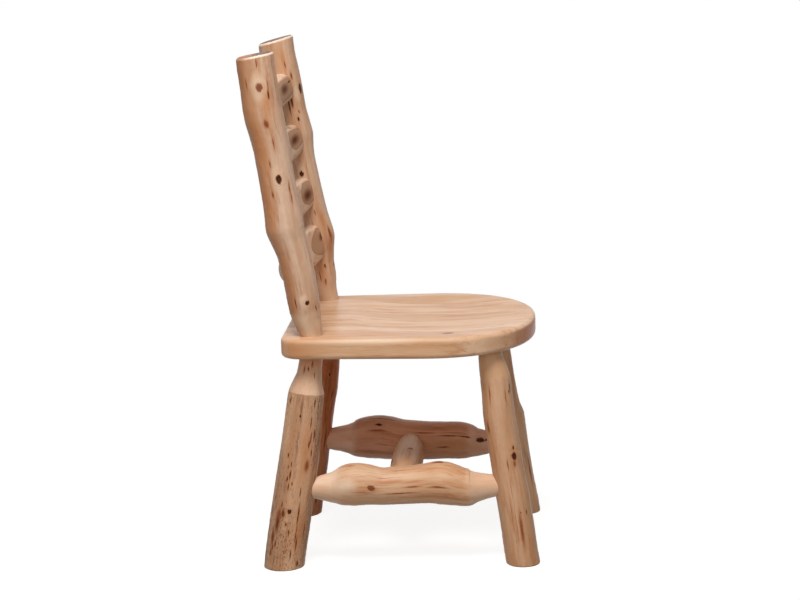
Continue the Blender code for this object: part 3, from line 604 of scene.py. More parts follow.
def saw_off(mesh, log, place, outward, ease):
    """Cuts the mesh across at a place, and eases the new rim by this radius."""
    points = coordinates(mesh)
    reach = (points - log.start) @ log.along
    out = points - log.heart(reach)
    out /= np.linalg.norm(out, axis=1)[:, None] + 1e-9
    below = np.clip((np.array(place) - points) @ np.array(outward), 0, ease)
    points -= out * (ease - np.sqrt(ease**2 - (ease - below) ** 2))[:, None]
    mesh.vertices.foreach_set("co", points.ravel().astype(np.float32))
    shape = bmesh.new()
    shape.from_mesh(mesh)
    cut_across(shape, place, outward)
    shape.to_mesh(mesh)
    shape.free()


def keep(mesh, name, values, kind="FLOAT", domain="POINT"):
    field = "vector" if kind == "FLOAT_VECTOR" else "value"
    mesh.attributes.new(name, kind, domain).data.foreach_set(field, values.astype(np.float32).ravel())


def keep_grain(mesh, measured, along, fresh=None):
    """Keeps where in the tree each point lies, how fresh it is, and how squarely each face cuts the grain."""
    shape = bmesh.new()
    shape.from_mesh(mesh)
    bmesh.ops.recalc_face_normals(shape, faces=shape.faces)
    shape.to_mesh(mesh)
    shape.free()
    helpers = ("girth", "tree", "along", "round", "heart_place")
    for name in [layer.name for layer in mesh.attributes if layer.name in helpers]:
        mesh.attributes.remove(mesh.attributes[name])
    points = coordinates(mesh)
    keep(mesh, "grain", measured(points), "FLOAT_VECTOR")
    if fresh:
        keep(mesh, "fresh", fresh(points))
    normals = np.empty(len(mesh.polygons) * 3, np.float32)
    mesh.polygons.foreach_get("normal", normals)
    keep(mesh, "end_grain", np.abs(normals.reshape(-1, 3) @ np.array(along)), domain="FACE")
    mesh.polygons.foreach_set("use_smooth", np.array([len(face.vertices) <= 4 for face in mesh.polygons]))
    return mesh


print("ready to skin and saw")

# %% [markdown]
# ## The rungs and their hollowed fronts
#
# Each back rung is a log whose front has been cut back to a long, shallow hollow, so that it
# meets the sitter's back. Such a face could be cut with a Boolean, but its edges are eased
# by hand. So each ring of the rung is worked out as one number, the distance from the heart
# in each direction: the log's radius behind, the hollow in front, and a soft meeting of both.

# %% A rung's form
RUNG_RADIUS, RUNG_SET_BACK, RUNG_SWELL = 30 * MM, 6 * MM, 0.015
RUNG_FIRST, RUNG_PITCH = POST_HEIGHT * 0.23006, POST_HEIGHT * 0.19666
HOLLOW_RADIUS, HOLLOW_ASIDE, EDGE_SHARPNESS = 560 * MM, 20 * MM, 5.5
# Share of the rung radius, lift as a share of the pitch, wood before the heart as a share of the
# rung's radius, and share of the hollow's radius
RUNG_SHARES = ((1.22, 0.0, 0.16, 0.93), (1.07, -0.03, 0.33, 1.33),
               (1.07, 0.0, 0.37, 1.28), (0.98, 0.0, 0.64, 2.8))


class Rung:
    """A back rung, measured across the chair and by the turn round its heart. A turn of 0 faces forward."""

    def __init__(self, number):
        self.node = f"back_rung_{number + 1}"
        share, lift, before, sweep = RUNG_SHARES[number]
        height = RUNG_FIRST + RUNG_PITCH * (number + lift)
        low, high = [Vector(one.start).lerp(Vector(one.end), height / POST_HEIGHT) for one in posts]
        self.middle = np.array((low + high) / 2 - FORWARD * RUNG_SET_BACK)
        self.half = (high - low).length / 2
        self.radius, self.number = RUNG_RADIUS * share, number
        self.before, self.sweep = self.radius * before, HOLLOW_RADIUS * sweep
        lean = Matrix.Rotation(-POST_LEAN, 3, "X")
        self.forward, self.up = np.array(lean @ FORWARD), np.array(lean @ UP)
        self.along = np.array(LEFT)

    def swell(self, across):
        return 1 + RUNG_SWELL * np.sin(math.tau * self.number / 4 + across / RUNG_PITCH)

    def reach(self, across, turn):
        """The distance from the heart to the surface."""
        log = self.radius * self.swell(across)
        hollow = self.before + self.sweep - np.sqrt(self.sweep**2 - (across - HOLLOW_ASIDE) ** 2)
        cut = (np.clip(np.cos(turn), 0, 1) / hollow) ** EDGE_SHARPNESS
        return (log**-EDGE_SHARPNESS + cut) ** (-1 / EDGE_SHARPNESS)

    def place(self, across, turn, reach):
        out = np.outer(np.cos(turn), self.forward) + np.outer(np.sin(turn), self.up)
        return self.middle + across * self.along + out * np.reshape(reach, (-1, 1))

    def in_the_tree(self, points):
        out = points - self.middle
        across = out @ self.along
        swell = self.swell(across)
        return np.stack([out @ self.forward / swell, out @ self.up / swell, across], 1)

    def mark(self, across, angle):
        """The place in the tree of a mark on the surface."""
        turn = np.radians([angle])
        return self.in_the_tree(self.place(across, turn, self.reach(across, turn)))[0]


rungs = [Rung(number) for number in range(len(RUNG_SHARES))]
print("rungs, mm between the posts' hearts:", [round(one.half * 2 / MM) for one in rungs])

# %% A rung's skin
RUNG_POINTS, RUNG_TENON, RUNG_HOUSING, PAST_THE_HEART = 112, 14 * MM, 17 * MM, 12 * MM
RUNG_EASE, RUNG_EASED_BY = 10 * MM, 0.3


def closed_skin(name, rings):
    """A closed mesh over rings of points, with a fan on the first and the last."""
    around, last = len(rings[0]), (len(rings) - 1) * len(rings[0])
    points = [tuple(point) for ring in rings for point in ring]
    points += [tuple(np.mean(rings[0], axis=0)), tuple(np.mean(rings[-1], axis=0))]
    nexts = [(i, (i + 1) % around) for i in range(around)]
    faces = [(first + a, first + b, first + around + b, first + around + a)
             for first in range(0, last, around) for a, b in nexts]
    faces += [(b, a, len(points) - 2) for a, b in nexts]
    faces += [(last + a, last + b, len(points) - 1) for a, b in nexts]
    mesh = bpy.data.meshes.new(name)
    mesh.from_pydata(points, [], faces)
    return mesh


def rung_mesh(rung):
    turns = np.linspace(0, math.tau, RUNG_POINTS, endpoint=False)
    shoulder, tip = rung.half - POST_RADIUS + RUNG_HOUSING, rung.half + PAST_THE_HEART
    stops = np.linspace(-shoulder, shoulder, round(2 * shoulder / RING_STEP))
    eased = 1 - RUNG_EASED_BY * np.clip((abs(stops) - shoulder) / RUNG_EASE + 1, 0, 1) ** 2
    tenon = np.full(RUNG_POINTS, RUNG_TENON)
    body = [rung.place(x, turns, rung.reach(x, turns) * share) for x, share in zip(stops, eased)]
    ends = (-tip, -shoulder), (shoulder, tip)
    first, last = [[rung.place(x, turns, tenon) for x in pair] for pair in ends]
    return closed_skin(rung.node + "_log", first + body + last)


print("rung skins have", RUNG_POINTS, "points round")

# %% [markdown]
# ## What the wood looks like
#
# A peeled and varnished softwood log has a pale skin with slow changes of tone, orange
# streaks where inner bark stayed, fine lines along the grain and a soft gloss. Where a tool
# has cut into it, the growth rings show, and a sawn end is darker because its open cells
# drink the varnish. A picture of wood would have seams and would stop at each edge. This
# material is solid: it works on the place in the tree that each point carries, so grain
# runs along every log, and rings bend round into the sawn ends by themselves.

# %% Colours and small shader helpers
def shade(red, green, blue):
    """A colour as read off a screen, 0 to 255, in the linear values that shaders take."""
    shares = [value / 255 for value in (red, green, blue)]
    return (*[share / 12.92 if share < 0.04045 else ((share + 0.055) / 1.055) ** 2.4 for share in shares], 1)


def mixed(factor, first, second):
    return add(factor.tree, "ShaderNodeMix", factor, first, second, data_type="RGBA")[2]


def between(value, low, high, first=0.0, second=1.0):
    """A soft step: the first result up to the low value, the second from the high one."""
    limits = low, high, first, second
    return add(value.tree, "ShaderNodeMapRange", value, *limits, interpolation_type="SMOOTHSTEP")


def noise_of(place, across, along, detail=2.0, roughness=0.5):
    """Noise with this many features per metre across the grain and along it."""
    stretched = vectors("MULTIPLY", place, (across, across, along))
    return add(place.tree, "ShaderNodeTexNoise", stretched, 1.0, detail, roughness)


def nudged(place, wobble, amount):
    away = vectors("SUBTRACT", wobble["Color"], (0.5, 0.5, 0.5))
    return vectors("ADD", place, vectors("MULTIPLY", away, (amount, amount, amount * 4)))


def across_grain(place):
    """The distance of a place from the heart."""
    return vectors("LENGTH", vectors("MULTIPLY", place, (1, 1, 0)))


PALE_SAPWOOD = 214, 180, 150
print("pale sapwood is", [round(value, 3) for value in shade(*PALE_SAPWOOD)])

# %% The solid wood
YEAR, WOBBLE, HEART_WOBBLE = 2.1 * MM, 9 * MM, 3 * MM
HEART_START, HEART_FULL = -24 * MM, 56 * MM
HEART_EDGE, RIM_EDGE = (-1 * MM, 2 * MM), (0.6 * MM, 3.6 * MM)
CHECK, SPECK, GASH, GREYED = shade(138, 78, 44), shade(96, 62, 42), shade(78, 46, 30), shade(146, 116, 92)
HEART_RIM, LATE_AT_END, FILED_RIM = shade(92, 56, 38), shade(84, 50, 33), shade(232, 206, 186)
NUMBER_INPUTS = ("Seed", "End grain", "Rings", "Heart radius", "Heart from", "Heart lift", "Streaks",
                 "Weather", "End from", "End to", "Rim from")
wood_tree, given, result = new_tree(
    "Solid wood", "ShaderNodeTree",
    [("Grain", "Vector"), *[(label, "Color") for label in ("Pale", "Tan", "Deep", "Heart", "End")],
     *[(label, "Float") for label in NUMBER_INPUTS]],
    [("Colour", "Color"), ("Height", "Float"), ("Patch", "Float")])
grain, deep = given["Grain"], given["Deep"]
seeded = vectors("ADD", grain, add(wood_tree, "ShaderNodeCombineXYZ", *[given["Seed"]] * 3))
broad, crooked, patch = noise_of(seeded, 24, 3.4, 3.0), noise_of(seeded, 15, 2.6), noise_of(seeded, 34, 6)
amber, streaky = noise_of(seeded, 75, 9, 3.0, 0.6), noise_of(seeded, 210, 8, 3.0, 0.6)
fine, fibre = noise_of(seeded, 900, 16, 3.0, 0.65), noise_of(seeded, 420, 6, 2.0, 0.6)
pallor = noise_of(vectors("ADD", seeded, (3.1, 5.7, 2.3)), 60, 8, 3.0, 0.6)
years = across_grain(nudged(grain, crooked, WOBBLE)) / YEAR + broad * 1.5
late_wood = maths("FRACT", years) ** 2.5

colour = mixed(between(broad, 0.34, 0.66), given["Pale"], given["Tan"])
streak = between(streaky, 0.50, 0.72) * between(patch, 0.42, 0.62)
colour = mixed(streak * given["Streaks"], colour, deep)
colour = mixed(between(amber, 0.48, 0.72) * 0.55, colour, deep)
colour = mixed(between(pallor, 0.50, 0.70) * 0.5, colour, given["Pale"])
colour = mixed(late_wood * given["Rings"], colour, deep)
colour = mixed(between(fibre, 0.40, 0.75, 0.0, 0.16), colour, deep)
colour = mixed(between(fine, 0.35, 0.70, 0.0, 0.10), colour, deep)
thin = between(noise_of(seeded, 300, 11, 2.0, 0.55), 0.60, 0.66) * between(amber, 0.46, 0.60)
colour = mixed(thin * given["Streaks"], colour, CHECK)

# Heartwood starts part-way along a rung and widens from there. It lies inside its own radius,
# a little above the log's middle, and its border follows the rings.
along = add(wood_tree, "ShaderNodeSeparateXYZ", grain)[2]
begun = add(wood_tree, "ShaderNodeMapRange", along - given["Heart from"], HEART_START, HEART_FULL, 0.0, 1.0)
lift = add(wood_tree, "ShaderNodeCombineXYZ", None, given["Heart lift"])
lifted = across_grain(vectors("SUBTRACT", nudged(grain, crooked, HEART_WOBBLE), lift))
inner = given["Heart radius"] * begun ** 0.5 - lifted
border = maths("MINIMUM", inner, given["Heart radius"] - across_grain(grain))
in_heart = between(border, *HEART_EDGE)
rim = in_heart - between(border, *RIM_EDGE)
colour = mixed(in_heart * 0.92, colour, mixed(late_wood * 0.45, given["Heart"], deep))
colour = mixed(rim * 0.35, colour, HEART_RIM)

# Weathered skin has dark specks drawn out along the grain, ragged gashes and greyer patches.
specks = between(noise_of(seeded, 420, 150, 2.0, 0.7), 0.575, 0.63) * between(patch, 0.36, 0.60, 0.25, 1.0)
gashes = between(noise_of(seeded, 150, 26, 3.0, 0.75), 0.55, 0.61) * between(crooked, 0.50, 0.60)
greyer = between(crooked, 0.42, 0.60, 0.0, 0.35)
for strength, tone in ((specks, SPECK), (gashes, GASH), (greyer, GREYED)):
    colour = mixed(strength * given["Weather"], colour, tone)

# A sawn end is darker, with its rings plain to see. The filed rim round a post's top is pale.
filed = between(given["End grain"], 0.08, 0.28) * maths("GREATER_THAN", along, given["Rim from"])
colour = mixed(filed, colour, FILED_RIM)
ringed = mixed(late_wood * 0.5, given["End"], LATE_AT_END)
mixed(between(given["End grain"], given["End from"], given["End to"]), colour, ringed).into(result["Colour"])
(fine * 0.6 - late_wood * 0.35 + fibre * 0.5).into(result["Height"])
patch.into(result["Patch"])
print("solid wood has", len(wood_tree.nodes), "nodes")

# %% [markdown]
# ## Marks that stay where they grew
#
# Each row of the mark tables becomes a distance: how far a point is from the mark, measured
# in the mark's own half sizes. The smallest distance of one kind goes through one colour
# ramp, which paints the core, its dark rim and the halo that fades into the wood round it.

# %% How each kind of mark is painted
MARK_REACH = 3.0
# From the middle outwards: the distance, the colour as seen on a screen, and how well it covers the wood
MARK_RAMPS = {
    "pale": (
        (0.0, (224, 194, 168), 0.85), (0.5, (222, 190, 162), 0.75), (0.9, (218, 184, 154), 0.45),
        (1.3, (212, 176, 144), 0)),
    "amber": (
        (0.0, (182, 120, 76), 0.75), (0.6, (186, 126, 84), 0.6), (1.2, (196, 142, 104), 0.25),
        (2.0, (204, 156, 120), 0)),
    "streak": (
        (0.0, (124, 58, 22), 0.95), (0.5, (138, 70, 32), 0.85), (0.95, (164, 98, 56), 0.45),
        (1.4, (188, 130, 88), 0.12), (2.0, (196, 144, 104), 0)),
    "burn": (
        (0.0, (120, 46, 10), 0.98), (0.6, (130, 58, 20), 0.9), (1.0, (160, 92, 50), 0.45),
        (1.5, (186, 126, 84), 0.12), (2.1, (190, 134, 92), 0)),
    "slit": (
        (0.0, (80, 34, 8), 1.0), (0.7, (96, 44, 14), 0.98), (1.05, (144, 80, 40), 0.66),
        (1.5, (180, 116, 72), 0.2), (2.1, (190, 130, 88), 0)),
    "knot": (
        (0.0, (118, 54, 26), 0.98), (0.6, (130, 66, 36), 0.96), (0.9, (110, 52, 24), 0.88),
        (1.15, (154, 96, 60), 0.5), (1.45, (190, 140, 104), 0.08), (1.65, (150, 94, 60), 0.26),
        (1.85, (196, 146, 110), 0.05), (2.5, (200, 150, 116), 0)),
    "hole": (
        (0.0, (92, 46, 20), 1.0), (0.35, (50, 22, 6), 1.0), (0.75, (60, 26, 8), 1.0),
        (1.0, (120, 60, 28), 0.94), (1.2, (168, 108, 66), 0.5), (1.45, (200, 150, 112), 0.1),
        (1.7, (146, 88, 54), 0.38), (1.95, (200, 150, 112), 0.06), (2.3, (160, 104, 68), 0.2),
        (2.7, (200, 150, 116), 0)),
    "pith": (
        (0.0, (84, 36, 14), 1.0), (0.45, (104, 52, 26), 0.97), (0.9, (128, 78, 50), 0.75),
        (1.6, (150, 106, 76), 0)),
}
mark_tree, given, result = new_tree(
    "Distance from a mark", "ShaderNodeTree",
    [("Grain", "Vector"), ("Centre", "Vector"), ("Stretch", "Vector")], [("Distance", "Float")])
away = vectors("MULTIPLY", vectors("SUBTRACT", given["Grain"], given["Centre"]), given["Stretch"])
vectors("LENGTH", away).into(result["Distance"])


def painted(colour, ragged, kind, rows):
    """The colour with all marks of one kind on it, and how deep they go in."""
    nearest = None
    for centre, across, along in rows:
        stretch = (1 / across, 1 / across, 1 / along)
        mark = add(ragged.tree, "ShaderNodeGroup", ragged, centre, stretch, node_tree=mark_tree)
        nearest = maths("MINIMUM", nearest, mark) if nearest else mark
    ramp = add(ragged.tree, "ShaderNodeValToRGB", nearest / MARK_REACH)
    stops = ramp.node.color_ramp.elements
    while len(stops) < len(MARK_RAMPS[kind]):
        stops.new(0.5)
    for stop, (reach, seen, strength) in zip(stops, MARK_RAMPS[kind]):
        stop.position = reach / MARK_REACH
        stop.color = (*shade(*seen)[:3], strength)
    return mixed(ramp["Alpha"], colour, ramp["Color"]), between(nearest, 0.3, 1.2, 1.0, 0.0)


print(len(MARK_RAMPS), "kinds of marks")

# %% One finished material
VARNISH_IOR, VARNISH_ROUGHNESS, BUMP_STRENGTH, BUMP_HEIGHT = 1.22, 0.22, 0.35, 0.25 * MM
RAGGED_BY, FAR = 3.2 * MM, 9.0
# How a piece looks where its own look says nothing else. FAR is 9 m, beyond the end of any log.
USUAL = dict(
    rings=0.10, streaks=0.5, weather=0.0, fresh=(216, 182, 152), border=0.35, dark_side=None,
    heart=(150, 114, 88), heart_radius=0.0, heart_from=-FAR, heart_lift=0.0,
    end=(118, 78, 54), end_from=0.75, end_to=0.95, rim_from=FAR, gloss=0.42, coat=0.03, mirror=0.45)


def finished_wood(name, seed, marks, **own_look):
    """Wood for one piece. Its marks are rows of a place in the tree, half width, half length and kind."""
    look = {**USUAL, **own_look, "seed": seed}
    material = bpy.data.materials.new(name)
    material.use_nodes = True
    tree = material.node_tree
    grain, end_grain, turned = [
        add(tree, "ShaderNodeAttribute", attribute_name=kept) for kept in ("grain", "end_grain", "fresh")]
    grain = grain["Vector"]
    wood = add(tree, "ShaderNodeGroup", grain, node_tree=wood_tree)
    end_grain["Fac"].into(wood.node.inputs["End grain"])
    for socket in wood.node.inputs:
        value = look.get(socket.name.lower().replace(" ", "_"))
        if value is not None:
            socket.default_value = shade(*value) if isinstance(value, tuple) else value
    colour, patch, depth = wood["Colour"], wood["Patch"], wood["Height"]
    deep, tan, fresh = [shade(*look[tone]) for tone in ("deep", "tan", "fresh")]
    # Painted shade: the wood is darkened on the side that faces this angle, where a post turns away from the
    # lamps
    if look["dark_side"]:
        angle, amount = look["dark_side"]
        most_shaded_way = math.cos(math.radians(angle)), math.sin(math.radians(angle)), 0
        outward = vectors("NORMALIZE", vectors("MULTIPLY", grain, (1, 1, 0)))
        facing = vectors("DOT_PRODUCT", outward, most_shaded_way) + patch * 0.8
        colour = mixed(between(facing, 0.2, 1.3, 0.0, amount), colour, deep)
    worn = (patch - 0.5) * 1.1 + turned["Fac"]
    low, high = 0.5 - look["border"], 0.5 + look["border"]
    cleaned = mixed(between(patch, 0.3, 0.7, 0.0, 0.55), fresh, tan)
    colour = mixed(between(worn, low, high, 0.0, 0.75), colour, cleaned)
    ragged = nudged(grain, noise_of(grain, 330, 70, 3.0, 0.65), RAGGED_BY)
    for kind in MARK_RAMPS:
        rows = [row[:3] for row in marks if row[3] == kind]
        if rows:
            colour, sunk = painted(colour, ragged, kind, rows)
            if kind in ("slit", "hole"):
                depth = depth - sunk * 1.5
    bump = add(tree, "ShaderNodeBump")
    shader = tree.nodes["Principled BSDF"]
    links = {"Height": depth, "Base Color": colour, "Normal": bump,
             "Roughness": between(patch, 0.3, 0.7, look["gloss"] - 0.06, look["gloss"] + 0.08)}
    for label, value in links.items():
        value.into((bump.node if label == "Height" else shader).inputs[label])
    bump.node.inputs["Strength"].default_value = BUMP_STRENGTH
    bump.node.inputs["Distance"].default_value = BUMP_HEIGHT
    shader.inputs["Specular IOR Level"].default_value = look["mirror"]
    shader.inputs["Coat Weight"].default_value = look["coat"]
    shader.inputs["IOR"].default_value = VARNISH_IOR
    shader.inputs["Coat Roughness"].default_value = VARNISH_ROUGHNESS
    return material


print("finishes ready")

# %% [markdown]
# ## Dressing the nine round logs
#
# Every log gets its own seed, its own tone and its own marks, as no two trees are alike. The
# rear legs are browner and weathered, and the right one has a crisp border where the lathe
# took the old skin away. The CAD node stays below for its joinery, and the new piece stands
# for it.

# %% Tones of the logs
LOOKS = {
    # The near post is painted darker on its rear side, where less light falls: painted shade
    "back_post_right": dict(
        pale=(208, 176, 151), tan=(188, 147, 115), deep=(172, 108, 62), end=(92, 56, 36),
        dark_side=(-90, 0.8)),
    "back_post_left": dict(pale=(214, 181, 153), tan=(193, 148, 113), deep=(172, 106, 60), end=(92, 56, 36)),
    "rear_leg_right": dict(
        pale=(216, 174, 139), tan=(192, 141, 104), deep=(140, 82, 44), fresh=(238, 200, 170), weather=0.9,
        border=0.07),
    "rear_leg_left": dict(
        pale=(222, 143, 94), tan=(196, 113, 68), deep=(146, 70, 32), fresh=(214, 158, 116), weather=0.3),
    "front_leg_right": dict(
        pale=(206, 166, 133), tan=(186, 139, 102), deep=(172, 104, 58), fresh=(204, 158, 120)),
    "front_leg_left": dict(
        pale=(244, 200, 160), tan=(228, 174, 132), deep=(176, 108, 62), fresh=(228, 184, 146)),
    "side_stretcher_right": dict(
        pale=(216, 180, 147), tan=(198, 145, 102), deep=(182, 106, 54), fresh=(238, 208, 182), border=0.5),
    "side_stretcher_left": dict(
        pale=(232, 170, 137), tan=(206, 139, 102), deep=(160, 88, 46), fresh=(246, 200, 172), border=0.5),
    "cross_stretcher": dict(
        pale=(236, 184, 141), tan=(212, 154, 111), deep=(170, 106, 60), fresh=(240, 192, 150)),
}


def place_piece(node, ending, mesh, material):
    """Gives the mesh its wood and its place in the frame, where it stands for one CAD node."""
    mesh.name = node + ending
    mesh.materials.clear()
    mesh.materials.append(material)
    piece = linked(node + ending, mesh)
    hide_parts(node)
    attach(piece, "root")
    print(piece.name, len(mesh.polygons), "faces")


def in_wood(log, marks):
    return [(tuple(log.in_the_tree(log.surface(share, angle))[0]), across * MM, along * MM, kind)
            for share, angle, across, along, kind in marks]


print("tones for", len(LOOKS), "logs")

# %% Skin, saw and dress each log
TOP_TILTS = {"back_post_right": 0, "back_post_left": 5}
FOOT_EASE, TOP_EASE, FILED, LOG_SEED_STEP = 2.5 * MM, 6 * MM, 14 * MM, 1.37
# Width of the soft border between peeled and turned wood
USUAL_FADE, FADES = 18 * MM, {"rear_leg_right": 4 * MM}
for number, log in enumerate(legs + posts + sides + [cross]):
    marks = rows_of(MARKS[log.node])
    rim_from = log.length - FILED if log in posts else FAR
    material = finished_wood(
        log.node + "_wood", number * LOG_SEED_STEP, in_wood(log, marks), rim_from=rim_from, **LOOKS[log.node])
    cuts = []
    if log in legs:
        cuts = [(0, log.start, (0, 0, -1), FOOT_EASE)]
    if log in posts:
        tilt = POST_LEAN + math.radians(TOP_TILTS[log.node])
        cuts = [(log.length, log.end, (0, math.sin(tilt), math.cos(tilt)), TOP_EASE)]
    mesh = skinned(log, number, marks, material, sawn=[cut[0] for cut in cuts])
    for _, middle, outward, ease in cuts:
        saw_off(mesh, log, tuple(middle), outward, ease)
    peeled = softened(log.tree, FADES.get(log.node, USUAL_FADE))
    keep_grain(mesh, log.in_the_tree, log.along,
               fresh=lambda points: 1 - log.at((points - log.start) @ log.along, peeled))
    place_piece(log.node, "_log", mesh, material)

# %% Dress the rungs
# Place across the chair in mm, angle round the rung, half width, half length and kind
RUNG_MARKS = (
    ((150, 25, 8, 18, "pith"), (-90, 60, 4, 6, "knot"),
     (110, 140, 4.5, 6, "hole"), (40, 100, 3, 40, "streak")),
    ((102, 0, 10, 38, "pith"), (-120, 100, 4.5, 6, "knot"),
     (60, -150, 2, 22, "slit"), (20, 120, 3, 34, "streak")),
    ((78, 24, 8.5, 42, "pith"), (90, 80, 4, 6, "knot"),
     (-60, 160, 4.5, 6, "hole"), (-30, 90, 2.6, 30, "streak")),
    ((45, 15, 9, 46, "pith"), (-80, 120, 4, 5.5, "knot"),
     (120, 30, 2, 18, "slit"), (70, -140, 3, 30, "streak")),
)
# How far out the heartwood reaches, where along the rung it starts to show, and how far up it lies
HEARTS = ((0.94, 82 * MM, 3 * MM), (0.94, 51 * MM, 5 * MM),
          (0.94, 23 * MM, 12 * MM), (0.96, -69 * MM, 4 * MM))
RUNG_LOOK = dict(
    pale=(242, 212, 186), tan=(232, 196, 166), deep=(190, 132, 88), heart=(190, 145, 113),
    end=(222, 188, 158), rings=0.14, gloss=0.62, coat=0.0, mirror=0.15)
FIRST_RUNG_SEED, RUNG_SEED_STEP = 20, 1.9
for rung, marks, (heart, heart_from, lift) in zip(rungs, RUNG_MARKS, HEARTS):
    rows = [(tuple(rung.mark(across * MM, angle)), wide * MM, long * MM, kind)
            for across, angle, wide, long, kind in marks]
    material = finished_wood(
        rung.node + "_wood", FIRST_RUNG_SEED + rung.number * RUNG_SEED_STEP, rows,
        heart_radius=rung.radius * heart, heart_from=heart_from, heart_lift=lift, **RUNG_LOOK)
    mesh = keep_grain(rung_mesh(rung), rung.in_the_tree, rung.along)
    place_piece(rung.node, "_log", mesh, material)

# %% [markdown]
# ## The seat
#
# The seat is five boards glued edge to edge, then cut to its outline, rounded and dished.
# Five boxes with a Boolean each would do, but the dish needs a smooth floor. So the whole
# panel is laid out in rings, from its middle to its outline, round its edge and back under
# it. The dish is a fall that each point looks up, and a saw parts the boards at the end.

# %% Outline of the seat
SEAT_STEPS, FRONT_STEPS, CORNER_STEPS = 420, 181, 31
FRONT_ROUND, FRONT_POWER, REAR_CORNER = 206 * MM, 0.91, 40 * MM
plan = []
for turn in np.linspace(0, math.pi, FRONT_STEPS):
    across, ahead = math.cos(turn), math.sin(turn)
    aside = math.copysign(abs(across) ** FRONT_POWER, across) * SEAT_WIDTH / 2
    plan.append((aside, FRONT_EDGE + FRONT_ROUND * (1 - ahead**FRONT_POWER)))
for side, first in ((-1, math.pi), (1, math.pi / 2)):
    centre = np.array((side * (SEAT_REAR_WIDTH / 2 - REAR_CORNER), BACK_EDGE - REAR_CORNER))
    for turn in first - np.linspace(0, math.pi / 2, CORNER_STEPS):
        plan.append(centre + REAR_CORNER * np.array((math.cos(turn), math.sin(turn))))
closed = np.array([*plan, plan[0]])
walked = np.concatenate([[0], np.cumsum(np.linalg.norm(np.diff(closed, axis=0), axis=1))])
even = np.linspace(0, walked[-1], SEAT_STEPS, endpoint=False)
plan = np.stack([np.interp(even, walked, column) for column in closed.T], 1)
tangent = np.roll(plan, -1, axis=0) - np.roll(plan, 1, axis=0)
outward = np.stack([tangent[:, 1], -tangent[:, 0]], 1) / np.linalg.norm(tangent, axis=1)[:, None]
outward *= np.sign(np.sum(outward * (plan - plan.mean(axis=0)), axis=1).mean())
print("outline", round(walked[-1] / MM), "mm round")

# %% The dished panel
EDGE_ROUND, DISH_DEPTH = 9 * MM, 9 * MM
DISH_HALF_WIDTH, DISH_HALF_LENGTH, DISH_MIDDLE = 206 * MM, 171 * MM, BACK_EDGE - 293 * MM
# How much of the depth is left at each share of the way out to the dish's rim
DISH_FALL = (1, 0.95, 0.82, 0.58, 0.32, 0.12, 0.015, 0)
DISH_REACH = (0, 0.30, 0.56, 0.76, 0.88, 0.955, 1, 1.03)
TOP_RINGS, ROUND_RINGS, SIDE_RINGS, BOTTOM_RINGS = 110, 9, 8, 12
middle = np.array((0, DISH_MIDDLE))


def at_height(flat, height):
    return np.column_stack([flat, np.full(len(flat), height)])


def shrunk(share):
    """The outline inside the rounded edge, drawn in towards the dish's middle."""
    return middle + (plan - outward * EDGE_ROUND - middle) * share


rings = []
for share in np.linspace(0.004, 1, TOP_RINGS):
    flat = shrunk(share)
    out = np.hypot(flat[:, 0] / DISH_HALF_WIDTH, (flat[:, 1] - DISH_MIDDLE) / DISH_HALF_LENGTH)
    rings.append(at_height(flat, SEAT_TOP - np.interp(out, DISH_REACH, DISH_FALL) * DISH_DEPTH))
turns = np.linspace(0, math.pi / 2, ROUND_RINGS)[1:]
for turn in turns:
    rings.append(at_height(plan - outward * EDGE_ROUND * (1 - math.sin(turn)),
                           SEAT_TOP - EDGE_ROUND * (1 - math.cos(turn))))
for height in np.linspace(SEAT_TOP - EDGE_ROUND, SEAT_UNDERSIDE + EDGE_ROUND, SIDE_RINGS)[1:]:
    rings.append(at_height(plan, height))
for turn in turns:
    rings.append(at_height(plan - outward * EDGE_ROUND * (1 - math.cos(turn)),
                           SEAT_UNDERSIDE + EDGE_ROUND * (1 - math.sin(turn))))
rings += [at_height(shrunk(share), SEAT_UNDERSIDE) for share in np.linspace(1, 0.01, BOTTOM_RINGS)[1:]]
panel = closed_skin("seat_panel", rings)
print("panel has", len(panel.polygons), "faces")

# %% Boards of the seat
BOARDS, GLUE_LINE = 5, 0.3 * MM
PITCH_OF_BOARDS = SEAT_WIDTH / BOARDS
# Where the heart of each board's tree lies, in mm aside of the board's middle and above the top
BOARD_HEARTS = ((22, -70), (-18, -95), (8, -60), (-30, -85), (12, -75))
# Place in mm, half width, half length and kind. On the first board, the two long amber marks
# along the near side of the dish are painted shade of its near wall, and the long pale mark
# on the near rim is a painted highlight.
SEAT_MARKS = {"seat_board_1": (
    ((-166, -108, 453), 9, 10, "hole"), ((-183, -60, 454), 9, 120, "amber"),
    ((-172, -5, 436), 26, 190, "amber"), ((-228, 20, 453), 8, 170, "pale"),
    ((-226, 190, 436), 16, 42, "amber"))}
SEAT_LOOK = dict(
    pale=(226, 191, 160), tan=(205, 160, 121), deep=(186, 122, 74), end=(200, 118, 68),
    end_from=0.74, end_to=0.97, rings=0.19, streaks=0.28, gloss=0.34)
FIRST_BOARD_SEED, BOARD_SEED_STEP = 40, 2.3


def board_mesh(number):
    shape = bmesh.new()
    shape.from_mesh(panel)
    for edge, side in ((number, -1), (number + 1, 1)):
        if 0 < edge < BOARDS:
            place = -SEAT_WIDTH / 2 + PITCH_OF_BOARDS * edge - side * GLUE_LINE / 2
            cut_across(shape, (place, 0, 0), (side, 0, 0))
    mesh = bpy.data.meshes.new("plank")
    shape.to_mesh(mesh)
    shape.free()
    return mesh


